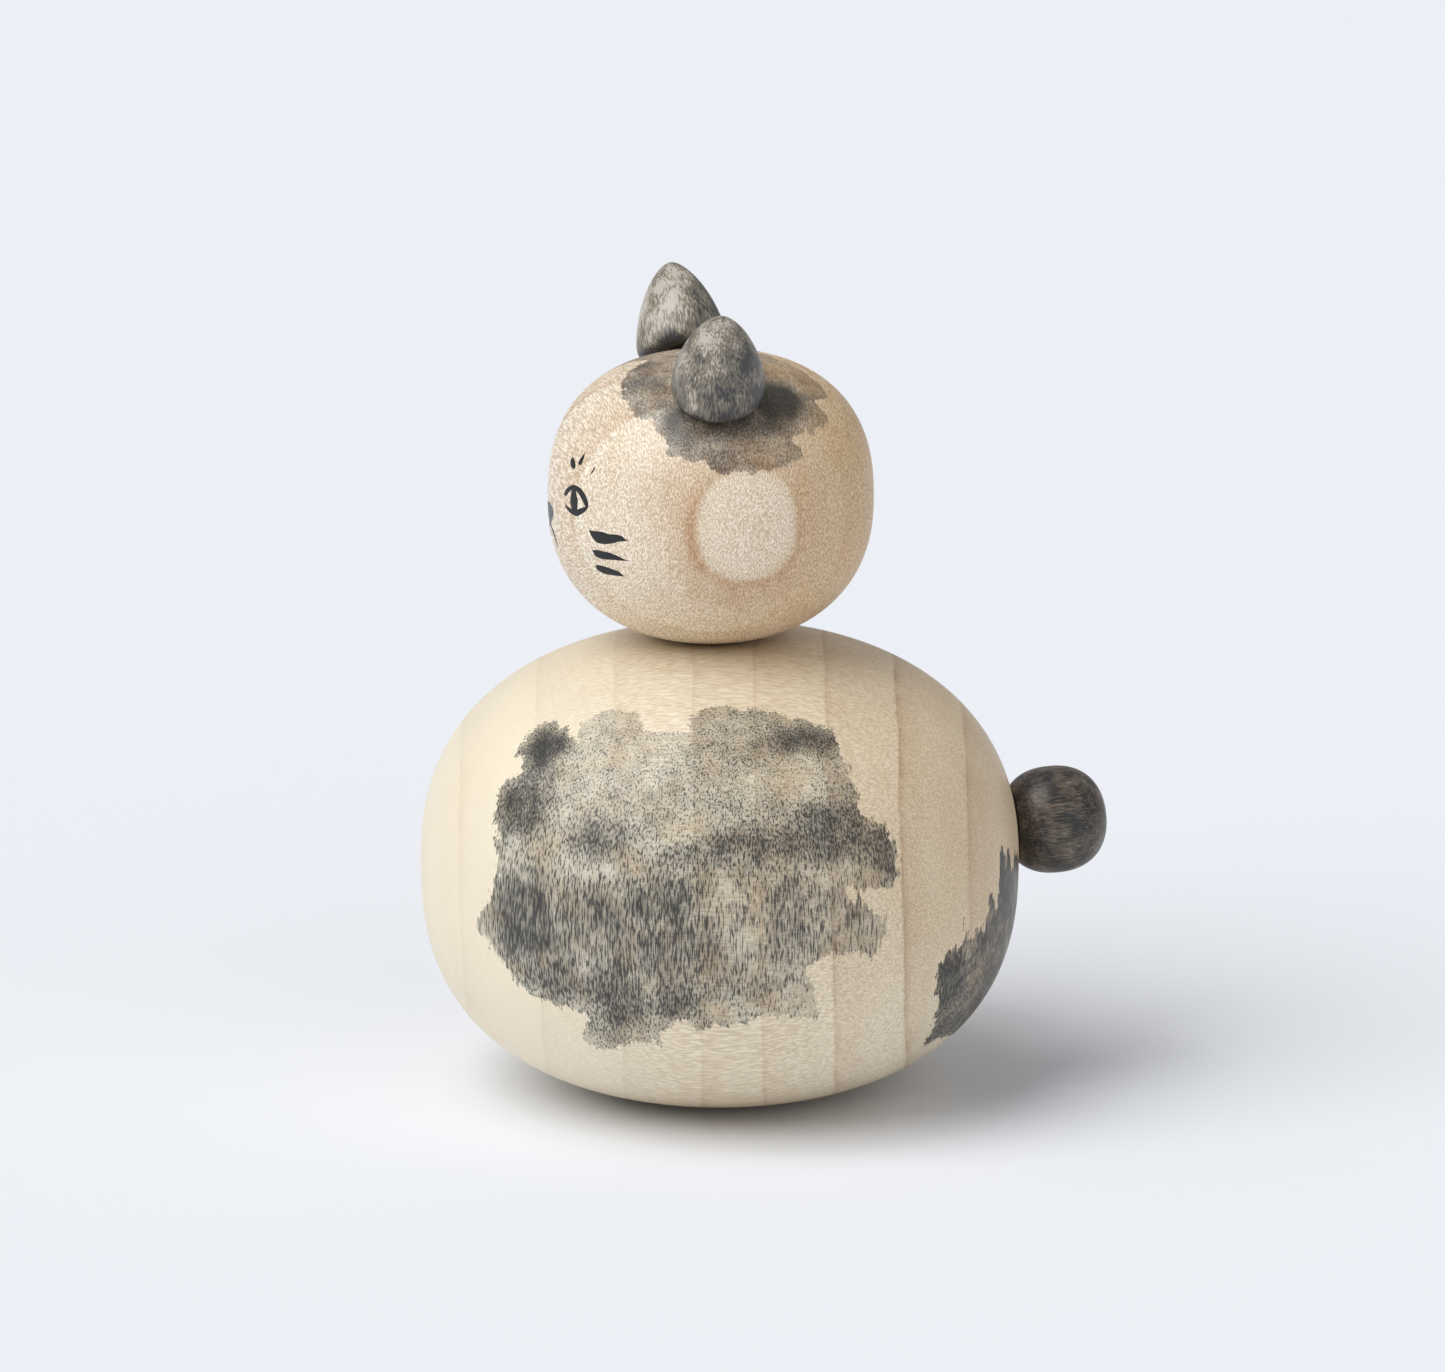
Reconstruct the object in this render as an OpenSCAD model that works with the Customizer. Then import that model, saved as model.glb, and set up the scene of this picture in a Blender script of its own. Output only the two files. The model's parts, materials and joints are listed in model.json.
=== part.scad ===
// Cat kokeshi: a turned wooden doll with a round body, a turning head,
// two pegged ears and a pegged ball tail. Millimetres, +Z up.
// The origin is the centre of the foot. The face looks along -Y and the tail points along +Y.

/* [Body] */
// Diameter at the widest turn
body_d = 60; // [40:0.5:90]
// Height of the turned form, from the foot to the crown before it is faced
body_h = 46.4; // [35:0.1:70]
// Height of the widest turn above the foot
belly_h = 23.2; // [16:0.1:30]
// Squareness of the upper curve, where 2 is an ellipse
body_top_shape = 2.34; // [2:0.01:3]
// Squareness of the lower curve
body_base_shape = 2.5; // [2:0.01:3]
// Depth faced off the lower curve to leave the flat foot
foot_cut = 0.2; // [0.1:0.05:1]
// Depth faced off the crown to leave the flat that the head turns on
crown_cut = 0.25; // [0.15:0.05:1]

/* [Head] */
// Diameter at the widest turn
head_d = 32.4; // [24:0.1:44]
// Height of the upper curve above the widest turn
head_top_h = 14.5; // [10:0.1:20]
// Depth of the lower curve below the widest turn
head_base_h = 14.3; // [10:0.1:20]
// Squareness of the upper curve
head_top_shape = 2.45; // [2:0.01:3]
// Squareness of the lower curve
head_base_shape = 2.28; // [2:0.01:3]
// Depth faced off the underside of the head
head_cut = 0.22; // [0.1:0.01:0.5]
// Distance the head stands forward of the body's centre line
head_forward = 0.9; // [0:0.1:1.5]

/* [Turning neck] */
// Diameter of the neck peg's shank
neck_d = 6; // [4:0.1:8]
// Length of shank glued into the head
neck_in_head = 12; // [6:0.5:13]
// Depth of the close-fitting throat in the body
throat_depth = 6; // [3:0.5:10]
// Diameter of the swollen bead that keeps the peg in the body
bead_d = 7.6; // [7:0.1:10]
// Length of the bead
bead_l = 4; // [3:0.5:6]
// Length of the taper at each end of the bead
bead_taper = 0.8; // [0.5:0.1:1.2]
// Radial clearance of the shank in the throat
neck_clearance = 0.05; // [0.02:0.01:0.1]
// Clearance all round the bead in its chamber
bead_clearance = 0.3; // [0.15:0.05:0.6]
// Gap between the underside of the head and the crown
turn_gap = 0.1; // [0.05:0.05:0.4]

/* [Ears] */
// Diameter at the widest turn
ear_d = 9.2; // [6:0.1:12]
// Length from the flat base to the tip
ear_l = 10; // [7:0.1:14]
// Height of the widest turn above the base
ear_edge_h = 1.2; // [0.5:0.1:2]
// Radial width of the rounded lower edge
ear_edge_w = 0.8; // [0.3:0.1:1.5]
// Squareness of the dome, where 2 is an ellipse and less is more pointed
ear_shape = 1.58; // [1.4:0.01:2.4]
// Angle of the ear's centre line away from upright
ear_splay = 32; // [15:1:45]
// Angle of the ears forward of the head's sides
ear_turn = 5.5; // [0:0.5:20]
// Gap between the ear's flat base and the head, bridged by the peg
ear_gap = 0.3; // [0.1:0.05:0.6]
// Diameter of the ear peg
ear_peg_d = 2.5; // [2:0.1:3.5]
// Length of peg in the ear
ear_peg_in_ear = 5; // [3:0.5:6]
// Length of peg in the head
ear_peg_in_head = 5; // [3:0.5:6]

/* [Tail] */
// Diameter of the ball
tail_d = 10.8; // [7:0.1:15]
// Length of the ball along its centre line before it is faced
tail_l = 10.6; // [7:0.1:15]
// Squareness of the ball, where 2 is an ellipse
tail_shape = 2.33; // [2:0.01:3]
// Depth faced off the ball where it seats on the body
tail_cut = 1.1; // [0.8:0.1:2]
// Angle of the tail's centre line above level
tail_lift = 3.7; // [2:0.1:20]
// Diameter of the tail peg
tail_peg_d = 3; // [2:0.1:4]
// Length of peg in the ball
tail_peg_in_ball = 5.5; // [3:0.5:6]
// Length of peg in the body
tail_peg_in_body = 8; // [4:0.5:12]

/* [Hidden] */

// Room left for glue at the blind end of each glued bore
glue_room = 0.5;
// Length by which a cutter runs past the face it opens
overrun = 1;
// Straight stretches that make up each quarter of a turned curve
curve_steps = 36;
// Straight stretches in a small rounded edge
edge_steps = 8;
$fn = 96;

maple = "#dcc7a4";
dyed = "#6f6a64";
dowel = "#cdb083";

LEFT = 1;
RIGHT = -1;

body_top_h = body_h - belly_h;
body_base_h = belly_h + foot_cut;
crown_z = body_h - crown_cut;
head_z = crown_z + turn_gap + head_base_h - head_cut;
bead_top_z = crown_z - throat_depth - bead_clearance;
bead_bottom_z = bead_top_z - bead_l;
neck_top_z = crown_z + turn_gap + neck_in_head;

// A turned curve is a superellipse: (r / radius)^shape + (z / height)^shape = 1.
// This is its point at parameter t, from 0 at the widest turn to 90 on the axis.
function curve_point(radius, height, shape, t) =
    [radius * pow(cos(t), 2 / shape), height * pow(sin(t), 2 / shape)];

// The parameter at which that curve reaches height z
function curve_angle(height, shape, z) = asin(pow(z / height, shape / 2));

// The curve's points from the widest turn up to height z
function curve_to(radius, height, shape, z) =
    let (last = curve_angle(height, shape, z))
    [for (i = [0 : curve_steps]) curve_point(radius, height, shape, last * i / curve_steps)];

// A curve's points turned down to lie below the widest turn, from the lowest up,
// without the one at the widest turn itself
function below(points) =
    [for (i = [len(points) - 1 : -1 : 1]) [points[i][0], -points[i][1]]];

// Distance from the centre to the flat that touches the curve with its face
// looking out at angle tilt above level, by the dual exponent of the curve
function touch_distance(radius, height, shape, tilt) =
    let (dual = shape / (shape - 1))
    pow(pow(radius * cos(tilt), dual) + pow(height * sin(tilt), dual), 1 / dual);

// The point at which that flat touches, as [distance from the axis, height]
function touch_point(radius, height, shape, tilt) =
    let (
        dual = shape / (shape - 1),
        distance = touch_distance(radius, height, shape, tilt)
    )
    [
        radius * pow(radius * cos(tilt) / distance, dual - 1),
        height * pow(height * sin(tilt) / distance, dual - 1)
    ];

// A solid of revolution from its outline, closed along the axis
module turned(outline) {
    low = outline[0];
    high = outline[len(outline) - 1];
    rotate_extrude() polygon(concat([[0, low[1]]], outline, high[0] > 0 ? [[0, high[1]]] : []));
}

// Moves to the neck's centre line
module at_neck() {
    translate([0, -head_forward, 0]) children();
}

// Moves to where an ear seats on the head, with +Z along the ear
module at_ear(side) {
    seat = touch_point(head_d / 2, head_top_h, head_top_shape, 90 - ear_splay);
    at_neck() translate([0, 0, head_z])
        rotate([0, 0, side == LEFT ? -ear_turn : 180 + ear_turn])
            translate([seat[0], 0, seat[1]]) rotate([0, ear_splay, 0]) children();
}

// Moves to where the tail seats on the body, with +Z along the tail
module at_tail() {
    seat = touch_point(body_d / 2, body_top_h, body_top_shape, tail_lift);
    translate([0, seat[0], belly_h + seat[1]]) rotate([tail_lift - 90, 0, 0]) children();
}

// A blind bore for a glued peg, running down from the face at z = 0
module peg_bore(diameter, depth) {
    translate([0, 0, -depth - glue_room]) cylinder(h = depth + glue_room + overrun, d = diameter);
}

// A plain dowel that reaches down and up from the joint face at z = 0
module dowel_peg(diameter, down, up) {
    translate([0, 0, -down]) cylinder(h = down + up, d = diameter);
}

// The outline of the bead between two heights, with a taper at each end
function bead_outline(radius, taper_radius, bottom, top) = [
    [taper_radius, bottom],
    [radius, bottom + bead_taper],
    [radius, top - bead_taper],
    [taper_radius, top]
];

module body() {
    upper = curve_to(body_d / 2, body_top_h, body_top_shape, body_top_h - crown_cut);
    lower = curve_to(body_d / 2, body_base_h, body_base_shape, belly_h);
    color(maple) difference() {
        translate([0, 0, belly_h]) turned(concat(below(lower), upper));
        at_neck() neck_socket();
        at_tail() peg_bore(tail_peg_d, tail_peg_in_body);
    }
}

// The throat that guides the shank, and the wider chamber under it that holds the bead
module neck_socket() {
    throat_r = neck_d / 2 + neck_clearance;
    chamber_r = bead_d / 2 + bead_clearance;
    translate([0, 0, crown_z - throat_depth]) cylinder(h = throat_depth + overrun, r = throat_r);
    translate([0, 0, bead_bottom_z - bead_clearance])
        cylinder(h = bead_l + 2 * bead_clearance, r = chamber_r);
}

module head() {
    upper = curve_to(head_d / 2, head_top_h, head_top_shape, head_top_h);
    lower = curve_to(head_d / 2, head_base_h, head_base_shape, head_base_h - head_cut);
    color(maple) difference() {
        at_neck() translate([0, 0, head_z]) turned(concat(below(lower), upper));
        at_neck() translate([0, 0, crown_z + turn_gap]) mirror([0, 0, 1])
            peg_bore(neck_d, neck_in_head);
        for (side = [LEFT, RIGHT]) at_ear(side) peg_bore(ear_peg_d, ear_peg_in_head);
    }
}

// The shank is glued in the head and the bead turns in the body
module neck_peg() {
    shank_r = neck_d / 2;
    bead = bead_outline(bead_d / 2, shank_r, bead_bottom_z, bead_top_z);
    color(dowel) at_neck() turned(concat(bead, [[shank_r, neck_top_z]]));
}

module ear(side) {
    radius = ear_d / 2;
    edge = [for (i = [0 : edge_steps - 1]) let (a = 90 * i / edge_steps)
        [radius - ear_edge_w * (1 - sin(a)), ear_edge_h * (1 - cos(a))]];
    dome_h = ear_l - ear_edge_h;
    dome = [for (p = curve_to(radius, dome_h, ear_shape, dome_h)) [p[0], p[1] + ear_edge_h]];
    color(dyed) at_ear(side) translate([0, 0, ear_gap]) difference() {
        turned(concat(edge, dome));
        mirror([0, 0, 1]) peg_bore(ear_peg_d, ear_peg_in_ear);
    }
}

module ear_left() {
    ear(LEFT);
}

module ear_right() {
    ear(RIGHT);
}

module ear_peg_left() {
    color(dowel) at_ear(LEFT) dowel_peg(ear_peg_d, ear_peg_in_head, ear_gap + ear_peg_in_ear);
}

module ear_peg_right() {
    color(dowel) at_ear(RIGHT) dowel_peg(ear_peg_d, ear_peg_in_head, ear_gap + ear_peg_in_ear);
}

module tail_ball() {
    half_l = tail_l / 2;
    outer = curve_to(tail_d / 2, half_l, tail_shape, half_l);
    inner = curve_to(tail_d / 2, half_l, tail_shape, half_l - tail_cut);
    color(dyed) at_tail() difference() {
        translate([0, 0, half_l - tail_cut]) turned(concat(below(inner), outer));
        mirror([0, 0, 1]) peg_bore(tail_peg_d, tail_peg_in_ball);
    }
}

module tail_peg() {
    color(dowel) at_tail() dowel_peg(tail_peg_d, tail_peg_in_body, tail_peg_in_ball);
}

body();
head();
neck_peg();
ear_left();
ear_right();
ear_peg_left();
ear_peg_right();
tail_ball();
tail_peg();
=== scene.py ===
"""Cat kokeshi: turned pale wood, brushed with grey ink, with dyed ears and tail.

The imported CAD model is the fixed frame. Every piece that shows is a numpy surface laid over its CAD
node, so the doll is dense and smooth where light grazes it. The doll faces -Y and stands on z = 0.
"""

import json
import logging
import math
from dataclasses import dataclass, field
from enum import Enum
from typing import Any

import bpy
import numpy as np
from mathutils import Matrix, Vector

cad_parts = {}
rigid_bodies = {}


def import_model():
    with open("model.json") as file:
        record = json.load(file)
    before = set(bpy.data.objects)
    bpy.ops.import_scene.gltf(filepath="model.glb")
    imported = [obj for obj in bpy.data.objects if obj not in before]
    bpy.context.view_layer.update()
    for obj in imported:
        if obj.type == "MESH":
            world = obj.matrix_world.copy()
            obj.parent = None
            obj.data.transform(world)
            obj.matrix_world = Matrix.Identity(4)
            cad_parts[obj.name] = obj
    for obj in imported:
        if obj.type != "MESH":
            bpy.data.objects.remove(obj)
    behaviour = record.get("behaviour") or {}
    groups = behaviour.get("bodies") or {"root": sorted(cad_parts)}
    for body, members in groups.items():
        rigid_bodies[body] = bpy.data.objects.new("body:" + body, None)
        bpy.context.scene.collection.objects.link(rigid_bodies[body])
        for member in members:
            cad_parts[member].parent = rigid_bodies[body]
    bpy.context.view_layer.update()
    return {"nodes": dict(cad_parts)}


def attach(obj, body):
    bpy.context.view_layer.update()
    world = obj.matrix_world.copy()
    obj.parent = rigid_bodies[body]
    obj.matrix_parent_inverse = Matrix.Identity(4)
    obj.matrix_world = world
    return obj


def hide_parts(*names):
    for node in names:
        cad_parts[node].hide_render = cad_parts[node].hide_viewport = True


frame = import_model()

MM = 0.001
LOG = logging.getLogger("kokeshi")

Array = np.ndarray
Point = tuple[float, float]
Sizes = tuple[float, float, float]
Stops = tuple[tuple[float, Any], ...]
Tree = bpy.types.NodeTree
Socket = bpy.types.NodeSocket


class Side(Enum):
    """The doll's own left and right; the value is the sign of X there."""

    LEFT = 1
    RIGHT = -1


class Chart(Enum):
    """How an outline on a turned form is told inside from outside."""

    GIRTH = "angle round the form against height"
    CROWN = "seen from above, unrolled along the form's meridians"


# --------------------------------------------------------------------------------------------------
# Small tools


def linear(colour: str) -> tuple[float, float, float, float]:
    """Turn an sRGB hex colour to the linear values that shaders use.

    Args:
        colour: six hex digits, such as "e8d6b4".

    Returns:
        Linear red, green, blue and an alpha of one.
    """
    parts = [int(colour[i : i + 2], 16) / 255 for i in (0, 2, 4)]
    red, green, blue = [c / 12.92 if c <= 0.04045 else ((c + 0.055) / 1.055) ** 2.4 for c in parts]
    return red, green, blue, 1.0


def add(
    tree: Tree,
    kind: str,
    inputs: dict | None = None,
    stops: Stops = (),
    **settings: Any,
) -> Any:
    """Add a shader node with its settings, values and links.

    Args:
        tree: the material's or world's node tree.
        kind: the node's type, without "ShaderNode".
        inputs: input name or index to a value, or to the output socket linked to it.
        stops: for a colour ramp, its (position, grey value or colour) pairs in rising order.
        settings: the node's own properties.

    Returns:
        The new node.
    """
    made = tree.nodes.new("ShaderNode" + kind)
    for name, value in settings.items():
        setattr(made, name, value)
    for name, value in (inputs or {}).items():
        if isinstance(value, Socket):
            tree.links.new(value, made.inputs[name])
        else:
            made.inputs[name].default_value = value
    for _ in stops[2:]:
        made.color_ramp.elements.new(0.5)
    for index, (position, value) in enumerate(stops):
        element = made.color_ramp.elements[index]
        element.position = position
        element.color = value if isinstance(value, tuple) else (value, value, value, 1.0)
    return made


def smoothstep(low: float, high: float, value: Array) -> Array:
    """Rise smoothly from 0 to 1.

    Args:
        low: where the rise starts.
        high: where it ends.
        value: the values to shape.

    Returns:
        3t^2 - 2t^3, where t is the share of the way from low to high.
    """
    t = np.clip((value - low) / (high - low), 0, 1)
    return t * t * (3 - 2 * t)


def grid_mesh(name: str, grids: list[Array]) -> bpy.types.Object:
    """Make one mesh of closed skins, each a grid that wraps round in its second direction.

    Args:
        name: the object's name.
        grids: each rows x columns x 3, in metres. The first and last rows close to a point.

    Returns:
        The object, smooth shaded, linked to the scene.
    """
    vertices: list = []
    faces: list = []
    for points in grids:
        start = len(vertices)
        rows, columns = points.shape[0] - 2, points.shape[1]
        index = start + np.arange(rows * columns).reshape(rows, columns)
        low = start + index.size
        ahead = np.roll(index, -1, axis=1)
        quads = np.stack([index[:-1], ahead[:-1], ahead[1:], index[1:]], axis=-1)
        foot = np.stack([np.full(columns, low), ahead[0], index[0]], axis=-1)
        cap = np.stack([index[-1], ahead[-1], np.full(columns, low + 1)], axis=-1)
        vertices += np.vstack([points[1:-1].reshape(-1, 3), points[0, :1], points[-1, :1]]).tolist()
        faces += quads.reshape(-1, 4).tolist() + foot.tolist() + cap.tolist()
    mesh = bpy.data.meshes.new(name)
    mesh.from_pydata(vertices, [], faces)
    mesh.shade_smooth()
    made = bpy.data.objects.new(name, mesh)
    bpy.context.scene.collection.objects.link(made)
    return made


def set_attribute(piece: bpy.types.Object, name: str, values: Array) -> None:
    """Store one number or one vector per vertex on a mesh.

    Args:
        piece: the mesh object.
        name: the attribute's name.
        values: as many values as vertices, or vertices x 3.
    """
    kind, key = ("FLOAT_VECTOR", "vector") if values.ndim == 2 else ("FLOAT", "value")
    attribute = piece.data.attributes.new(name, kind, "POINT")
    attribute.data.foreach_set(key, values.astype(np.float32).ravel())


def vertices_of(piece: bpy.types.Object) -> Array:
    """Read a mesh's vertices.

    Args:
        piece: the mesh object.

    Returns:
        Vertices x 3, in the mesh's own unit.
    """
    flat = np.zeros(len(piece.data.vertices) * 3, np.float32)
    piece.data.vertices.foreach_get("co", flat)
    return flat.reshape(-1, 3).astype(float)


# --------------------------------------------------------------------------------------------------
# Turned forms

# Stretches of the fine outline that even spacing is measured on.
FINE_STEPS = 4000


@dataclass(frozen=True)
class TurnedForm:
    """A superellipse turned about a vertical axis, in millimetres.

    In words: (distance from axis / radius)^shape + (height / half height)^shape = 1, with one half
    height and shape above the widest turn and another below it.
    """

    axis_y: float
    widest_z: float
    radius: float
    top: float
    base: float
    top_shape: float
    base_shape: float

    def half_at(self, height: Array) -> tuple[Array, Array]:
        """Pick the upper or the lower half of the form.

        Args:
            height: height above the widest turn; only its sign counts.

        Returns:
            The half height and the shape that hold at each point.
        """
        above = height > 0
        return (
            np.where(above, self.top, self.base),
            np.where(above, self.top_shape, self.base_shape),
        )

    def radius_at(self, height: Array) -> Array:
        """Distance from the axis to the surface.

        Args:
            height: height above the widest turn.

        Returns:
            The radius, by the superellipse formula solved for it.
        """
        half, shape = self.half_at(height)
        share = np.clip(np.abs(height) / half, 0, 1)
        return self.radius * (1 - share**shape) ** (1 / shape)

    def place(self, azimuth: Array, height: Array, lift: Array | float = 0.0) -> Array:
        """Points on the surface, or a little above it.

        Args:
            azimuth: degrees from +X towards +Y.
            height: height above the widest turn.
            lift: distance outwards, square to the surface.

        Returns:
            Points x 3 in millimetres. The outward direction is the gradient of the formula.
        """
        radius = self.radius_at(height)
        half, shape = self.half_at(height)
        out = (radius / self.radius) ** (shape - 1) / self.radius
        rise = np.sign(height) * (np.abs(height) / half) ** (shape - 1) / half
        size = np.hypot(out, rise)
        reach = radius + lift * out / size
        level = height + lift * rise / size
        angle = np.radians(azimuth)
        return np.stack(
            [reach * np.cos(angle), reach * np.sin(angle) + self.axis_y, level + self.widest_z],
            axis=-1,
        )

    def outline(self, low: float, high: float, steps: int) -> Array:
        """Evenly spaced points on the half outline between two heights.

        Args:
            low: the lower height, above the widest turn.
            high: the higher one.
            steps: how many stretches.

        Returns:
            (radius, height) pairs from low to high, even in length along the curve.
        """
        turn = np.linspace(-math.pi / 2, math.pi / 2, FINE_STEPS)
        half, shape = self.half_at(turn)
        height = np.sign(turn) * half * np.abs(np.sin(turn)) ** (2 / shape)
        height = np.unique(np.clip(height, low, high))
        radius = self.radius_at(height)
        length = np.concatenate([[0], np.cumsum(np.hypot(np.diff(radius), np.diff(height)))])
        even = np.linspace(0, length[-1], steps + 1)
        return np.stack([np.interp(even, length, radius), np.interp(even, length, height)], axis=-1)

    def chart(self, points: Array) -> tuple[Array, Array]:
        """Turn places into the form's own coordinates.

        Args:
            points: points x 3, in millimetres.

        Returns:
            Azimuth in degrees and height above the widest turn.
        """
        azimuth = np.degrees(np.arctan2(points[:, 1] - self.axis_y, points[:, 0]))
        return azimuth, points[:, 2] - self.widest_z

    def unroll(self, azimuth: Array, height: Array) -> Array:
        """Flatten the form round its top, each meridian laid out at its true length.

        Args:
            azimuth: degrees.
            height: height above the widest turn.

        Returns:
            Points x 2 in millimetres, with the top at the origin.
        """
        curve = self.outline(-self.base, self.top, FINE_STEPS // 2)
        steps = np.hypot(np.diff(curve[:, 0]), np.diff(curve[:, 1]))
        length = np.concatenate([[0], np.cumsum(steps)])
        reach = length[-1] - np.interp(height, curve[:, 1], length)
        angle = np.radians(azimuth)
        return np.stack([reach * np.cos(angle), reach * np.sin(angle)], axis=-1)


def rounded_corners(
    corners: Array, radius: float, steps: int = 5, most: float = 0.45
) -> Array:
    """Round the inner corners of an outline.

    Args:
        corners: (radius, height, shift) rows.
        radius: how far from each corner the rounding starts, in millimetres.
        steps: stretches in each rounded corner.
        most: the greatest share of a side that a rounding takes up.

    Returns:
        The outline, where each inner corner is a quadratic curve: a weighted mean of the point
        before it, the corner and the point after it.
    """
    rows = [corners[:1]]
    t = np.linspace(0, 1, steps + 1)[:, None]
    for before, corner, after in zip(corners[:-2], corners[1:-1], corners[2:]):
        back, on = before - corner, after - corner
        start = corner + back * min(most, radius / max(np.linalg.norm(back[:2]), radius))
        end = corner + on * min(most, radius / max(np.linalg.norm(on[:2]), radius))
        rows.append((1 - t) ** 2 * start + 2 * t * (1 - t) * corner + t**2 * end)
    rows.append(corners[-1:])
    return np.vstack(rows)


def revolve(profile: Array, columns: int, centre: tuple[float, float]) -> Array:
    """Carry a profile round a vertical axis.

    Args:
        profile: (radius, height, shift) rows, where shift moves that row along Y.
        columns: points round the axis.
        centre: the axis in Y, and the height that profile heights start from.

    Returns:
        rows x columns x 3 points in millimetres: (r cos a, r sin a + axis + shift, z).
    """
    angle = np.linspace(0, 2 * math.pi, columns, endpoint=False)[None, :]
    radius, height, shift = [profile[:, i][:, None] for i in range(3)]
    x = radius * np.cos(angle)
    y = radius * np.sin(angle) + centre[0] + shift
    z = np.broadcast_to(height + centre[1], x.shape)
    return np.stack([x, y, z], axis=-1)


# --------------------------------------------------------------------------------------------------
# Brushed patches

# A dab's darkness falls off as exp(-DAB_FALL * reach^DAB_FLAT): a flat top and a soft edge.
DAB_FALL = 0.7
DAB_FLAT = 1.7
# How many points the rounded edge of a patch has for each one given.
EDGE_STEPS = 4


@dataclass(frozen=True)
class Dab:
    """One touch of a loaded brush: where it landed, how far it spread and how dark it dried."""

    azimuth: float
    height: float
    wide: float
    tall: float
    dark: float


@dataclass(frozen=True)
class Patch:
    """A patch of brushed grey ink: its edge, the wash inside it and the dabs laid over that.

    The edge's points are (azimuth in degrees, height above the widest turn in millimetres).
    """

    edge: list[Point]
    chart: Chart
    wash: float
    dabs: list[Dab] = field(default_factory=list)

    def distance(self, form: TurnedForm, azimuth: Array, height: Array) -> Array:
        """Signed distance to the edge.

        Args:
            form: the turned form that the patch lies on.
            azimuth: degrees, one per point.
            height: height above the widest turn, one per point.

        Returns:
            Millimetres, positive inside. The size is the least distance to the edge's stretches in
            space; the sign comes from counting the stretches crossed on the flat chart.
        """
        given = np.array(self.edge, float)
        corners = smooth_ring(form.place(given[:, 0], given[:, 1]), EDGE_STEPS)
        ring = np.stack(form.chart(corners), axis=-1)
        points = form.place(azimuth, height)
        best = np.full(len(points), np.inf)
        for start, end in zip(corners, np.roll(corners, -1, axis=0)):
            along = end - start
            share = np.clip(((points - start) @ along) / max(along @ along, 1e-9), 0, 1)
            gap = points - start - share[:, None] * along
            best = np.minimum(best, np.einsum("ij,ij->i", gap, gap))
        if self.chart is Chart.CROWN:
            flat = form.unroll(azimuth, height)
            outline = form.unroll(ring[:, 0], ring[:, 1])
        else:
            middle = given[:, 0].mean()
            flat = np.stack([wrap(azimuth, middle), height], axis=-1)
            outline = np.stack([wrap(ring[:, 0], middle), ring[:, 1]], axis=-1)
        return np.where(inside(flat, outline), 1, -1) * np.sqrt(best)

    def darkness(self, form: TurnedForm, azimuth: Array, height: Array) -> Array:
        """How much ink the wash and the dabs left: 0 is none, and from 1 up it is nearly black.

        Args:
            form: the turned form.
            azimuth: degrees, one per point.
            height: height above the widest turn.

        Returns:
            The wash, drawn towards each dab's darkness in turn by a flat-topped bell curve of
            the distance from the dab's middle, in space, scaled by its half sizes.
        """
        points = form.place(azimuth, height)
        total = np.full(len(azimuth), self.wash)
        for dab in self.dabs:
            middle = form.place(np.array([dab.azimuth]), np.array([dab.height]))[0]
            turn = math.radians(dab.azimuth)
            side = np.array([-math.sin(turn), math.cos(turn), 0])
            across = (points - middle) @ side
            rest = points - middle - across[:, None] * side
            reach = (across / dab.wide) ** 2 + np.einsum("ij,ij->i", rest, rest) / dab.tall**2
            total = total + (dab.dark - total) * np.exp(-DAB_FALL * reach**DAB_FLAT)
        return total


def wrap(azimuth: Array, middle: float) -> Array:
    """Bring angles within half a turn of the middle one."""
    return (azimuth - middle + 180) % 360 - 180 + middle


def smooth_ring(ring: Array, steps: int) -> Array:
    """Round a closed outline with a Catmull-Rom curve.

    Args:
        ring: the outline's points.
        steps: new points for each old one.

    Returns:
        The finer outline. Each stretch is the cubic through its two ends whose slopes are half the
        chord between their neighbours.
    """
    p0, p1, p2, p3 = [np.roll(ring, k, axis=0)[:, None] for k in (1, 0, -1, -2)]
    t = np.linspace(0, 1, steps, endpoint=False)[None, :, None]
    bend = 2 * p0 - 5 * p1 + 4 * p2 - p3
    twist = 3 * p1 - p0 - 3 * p2 + p3
    return (p1 + 0.5 * ((p2 - p0) * t + bend * t**2 + twist * t**3)).reshape(-1, ring.shape[1])


def inside(points: Array, outline: Array) -> Array:
    """Whether each point lies in a closed outline.

    Args:
        points: points x 2.
        outline: the outline's corners x 2.

    Returns:
        True where an odd number of the outline's sides lies to the point's right.
    """
    hits = np.zeros(len(points), int)
    x, y = points.T
    for (x1, y1), (x2, y2) in zip(outline, np.roll(outline, -1, axis=0)):
        crosses = (y1 > y) != (y2 > y)
        if y1 != y2:
            hits += crosses & (x < (x2 - x1) * (y - y1) / (y2 - y1) + x1)
    return hits % 2 == 1


# --------------------------------------------------------------------------------------------------
# Ink strokes on the face


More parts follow.
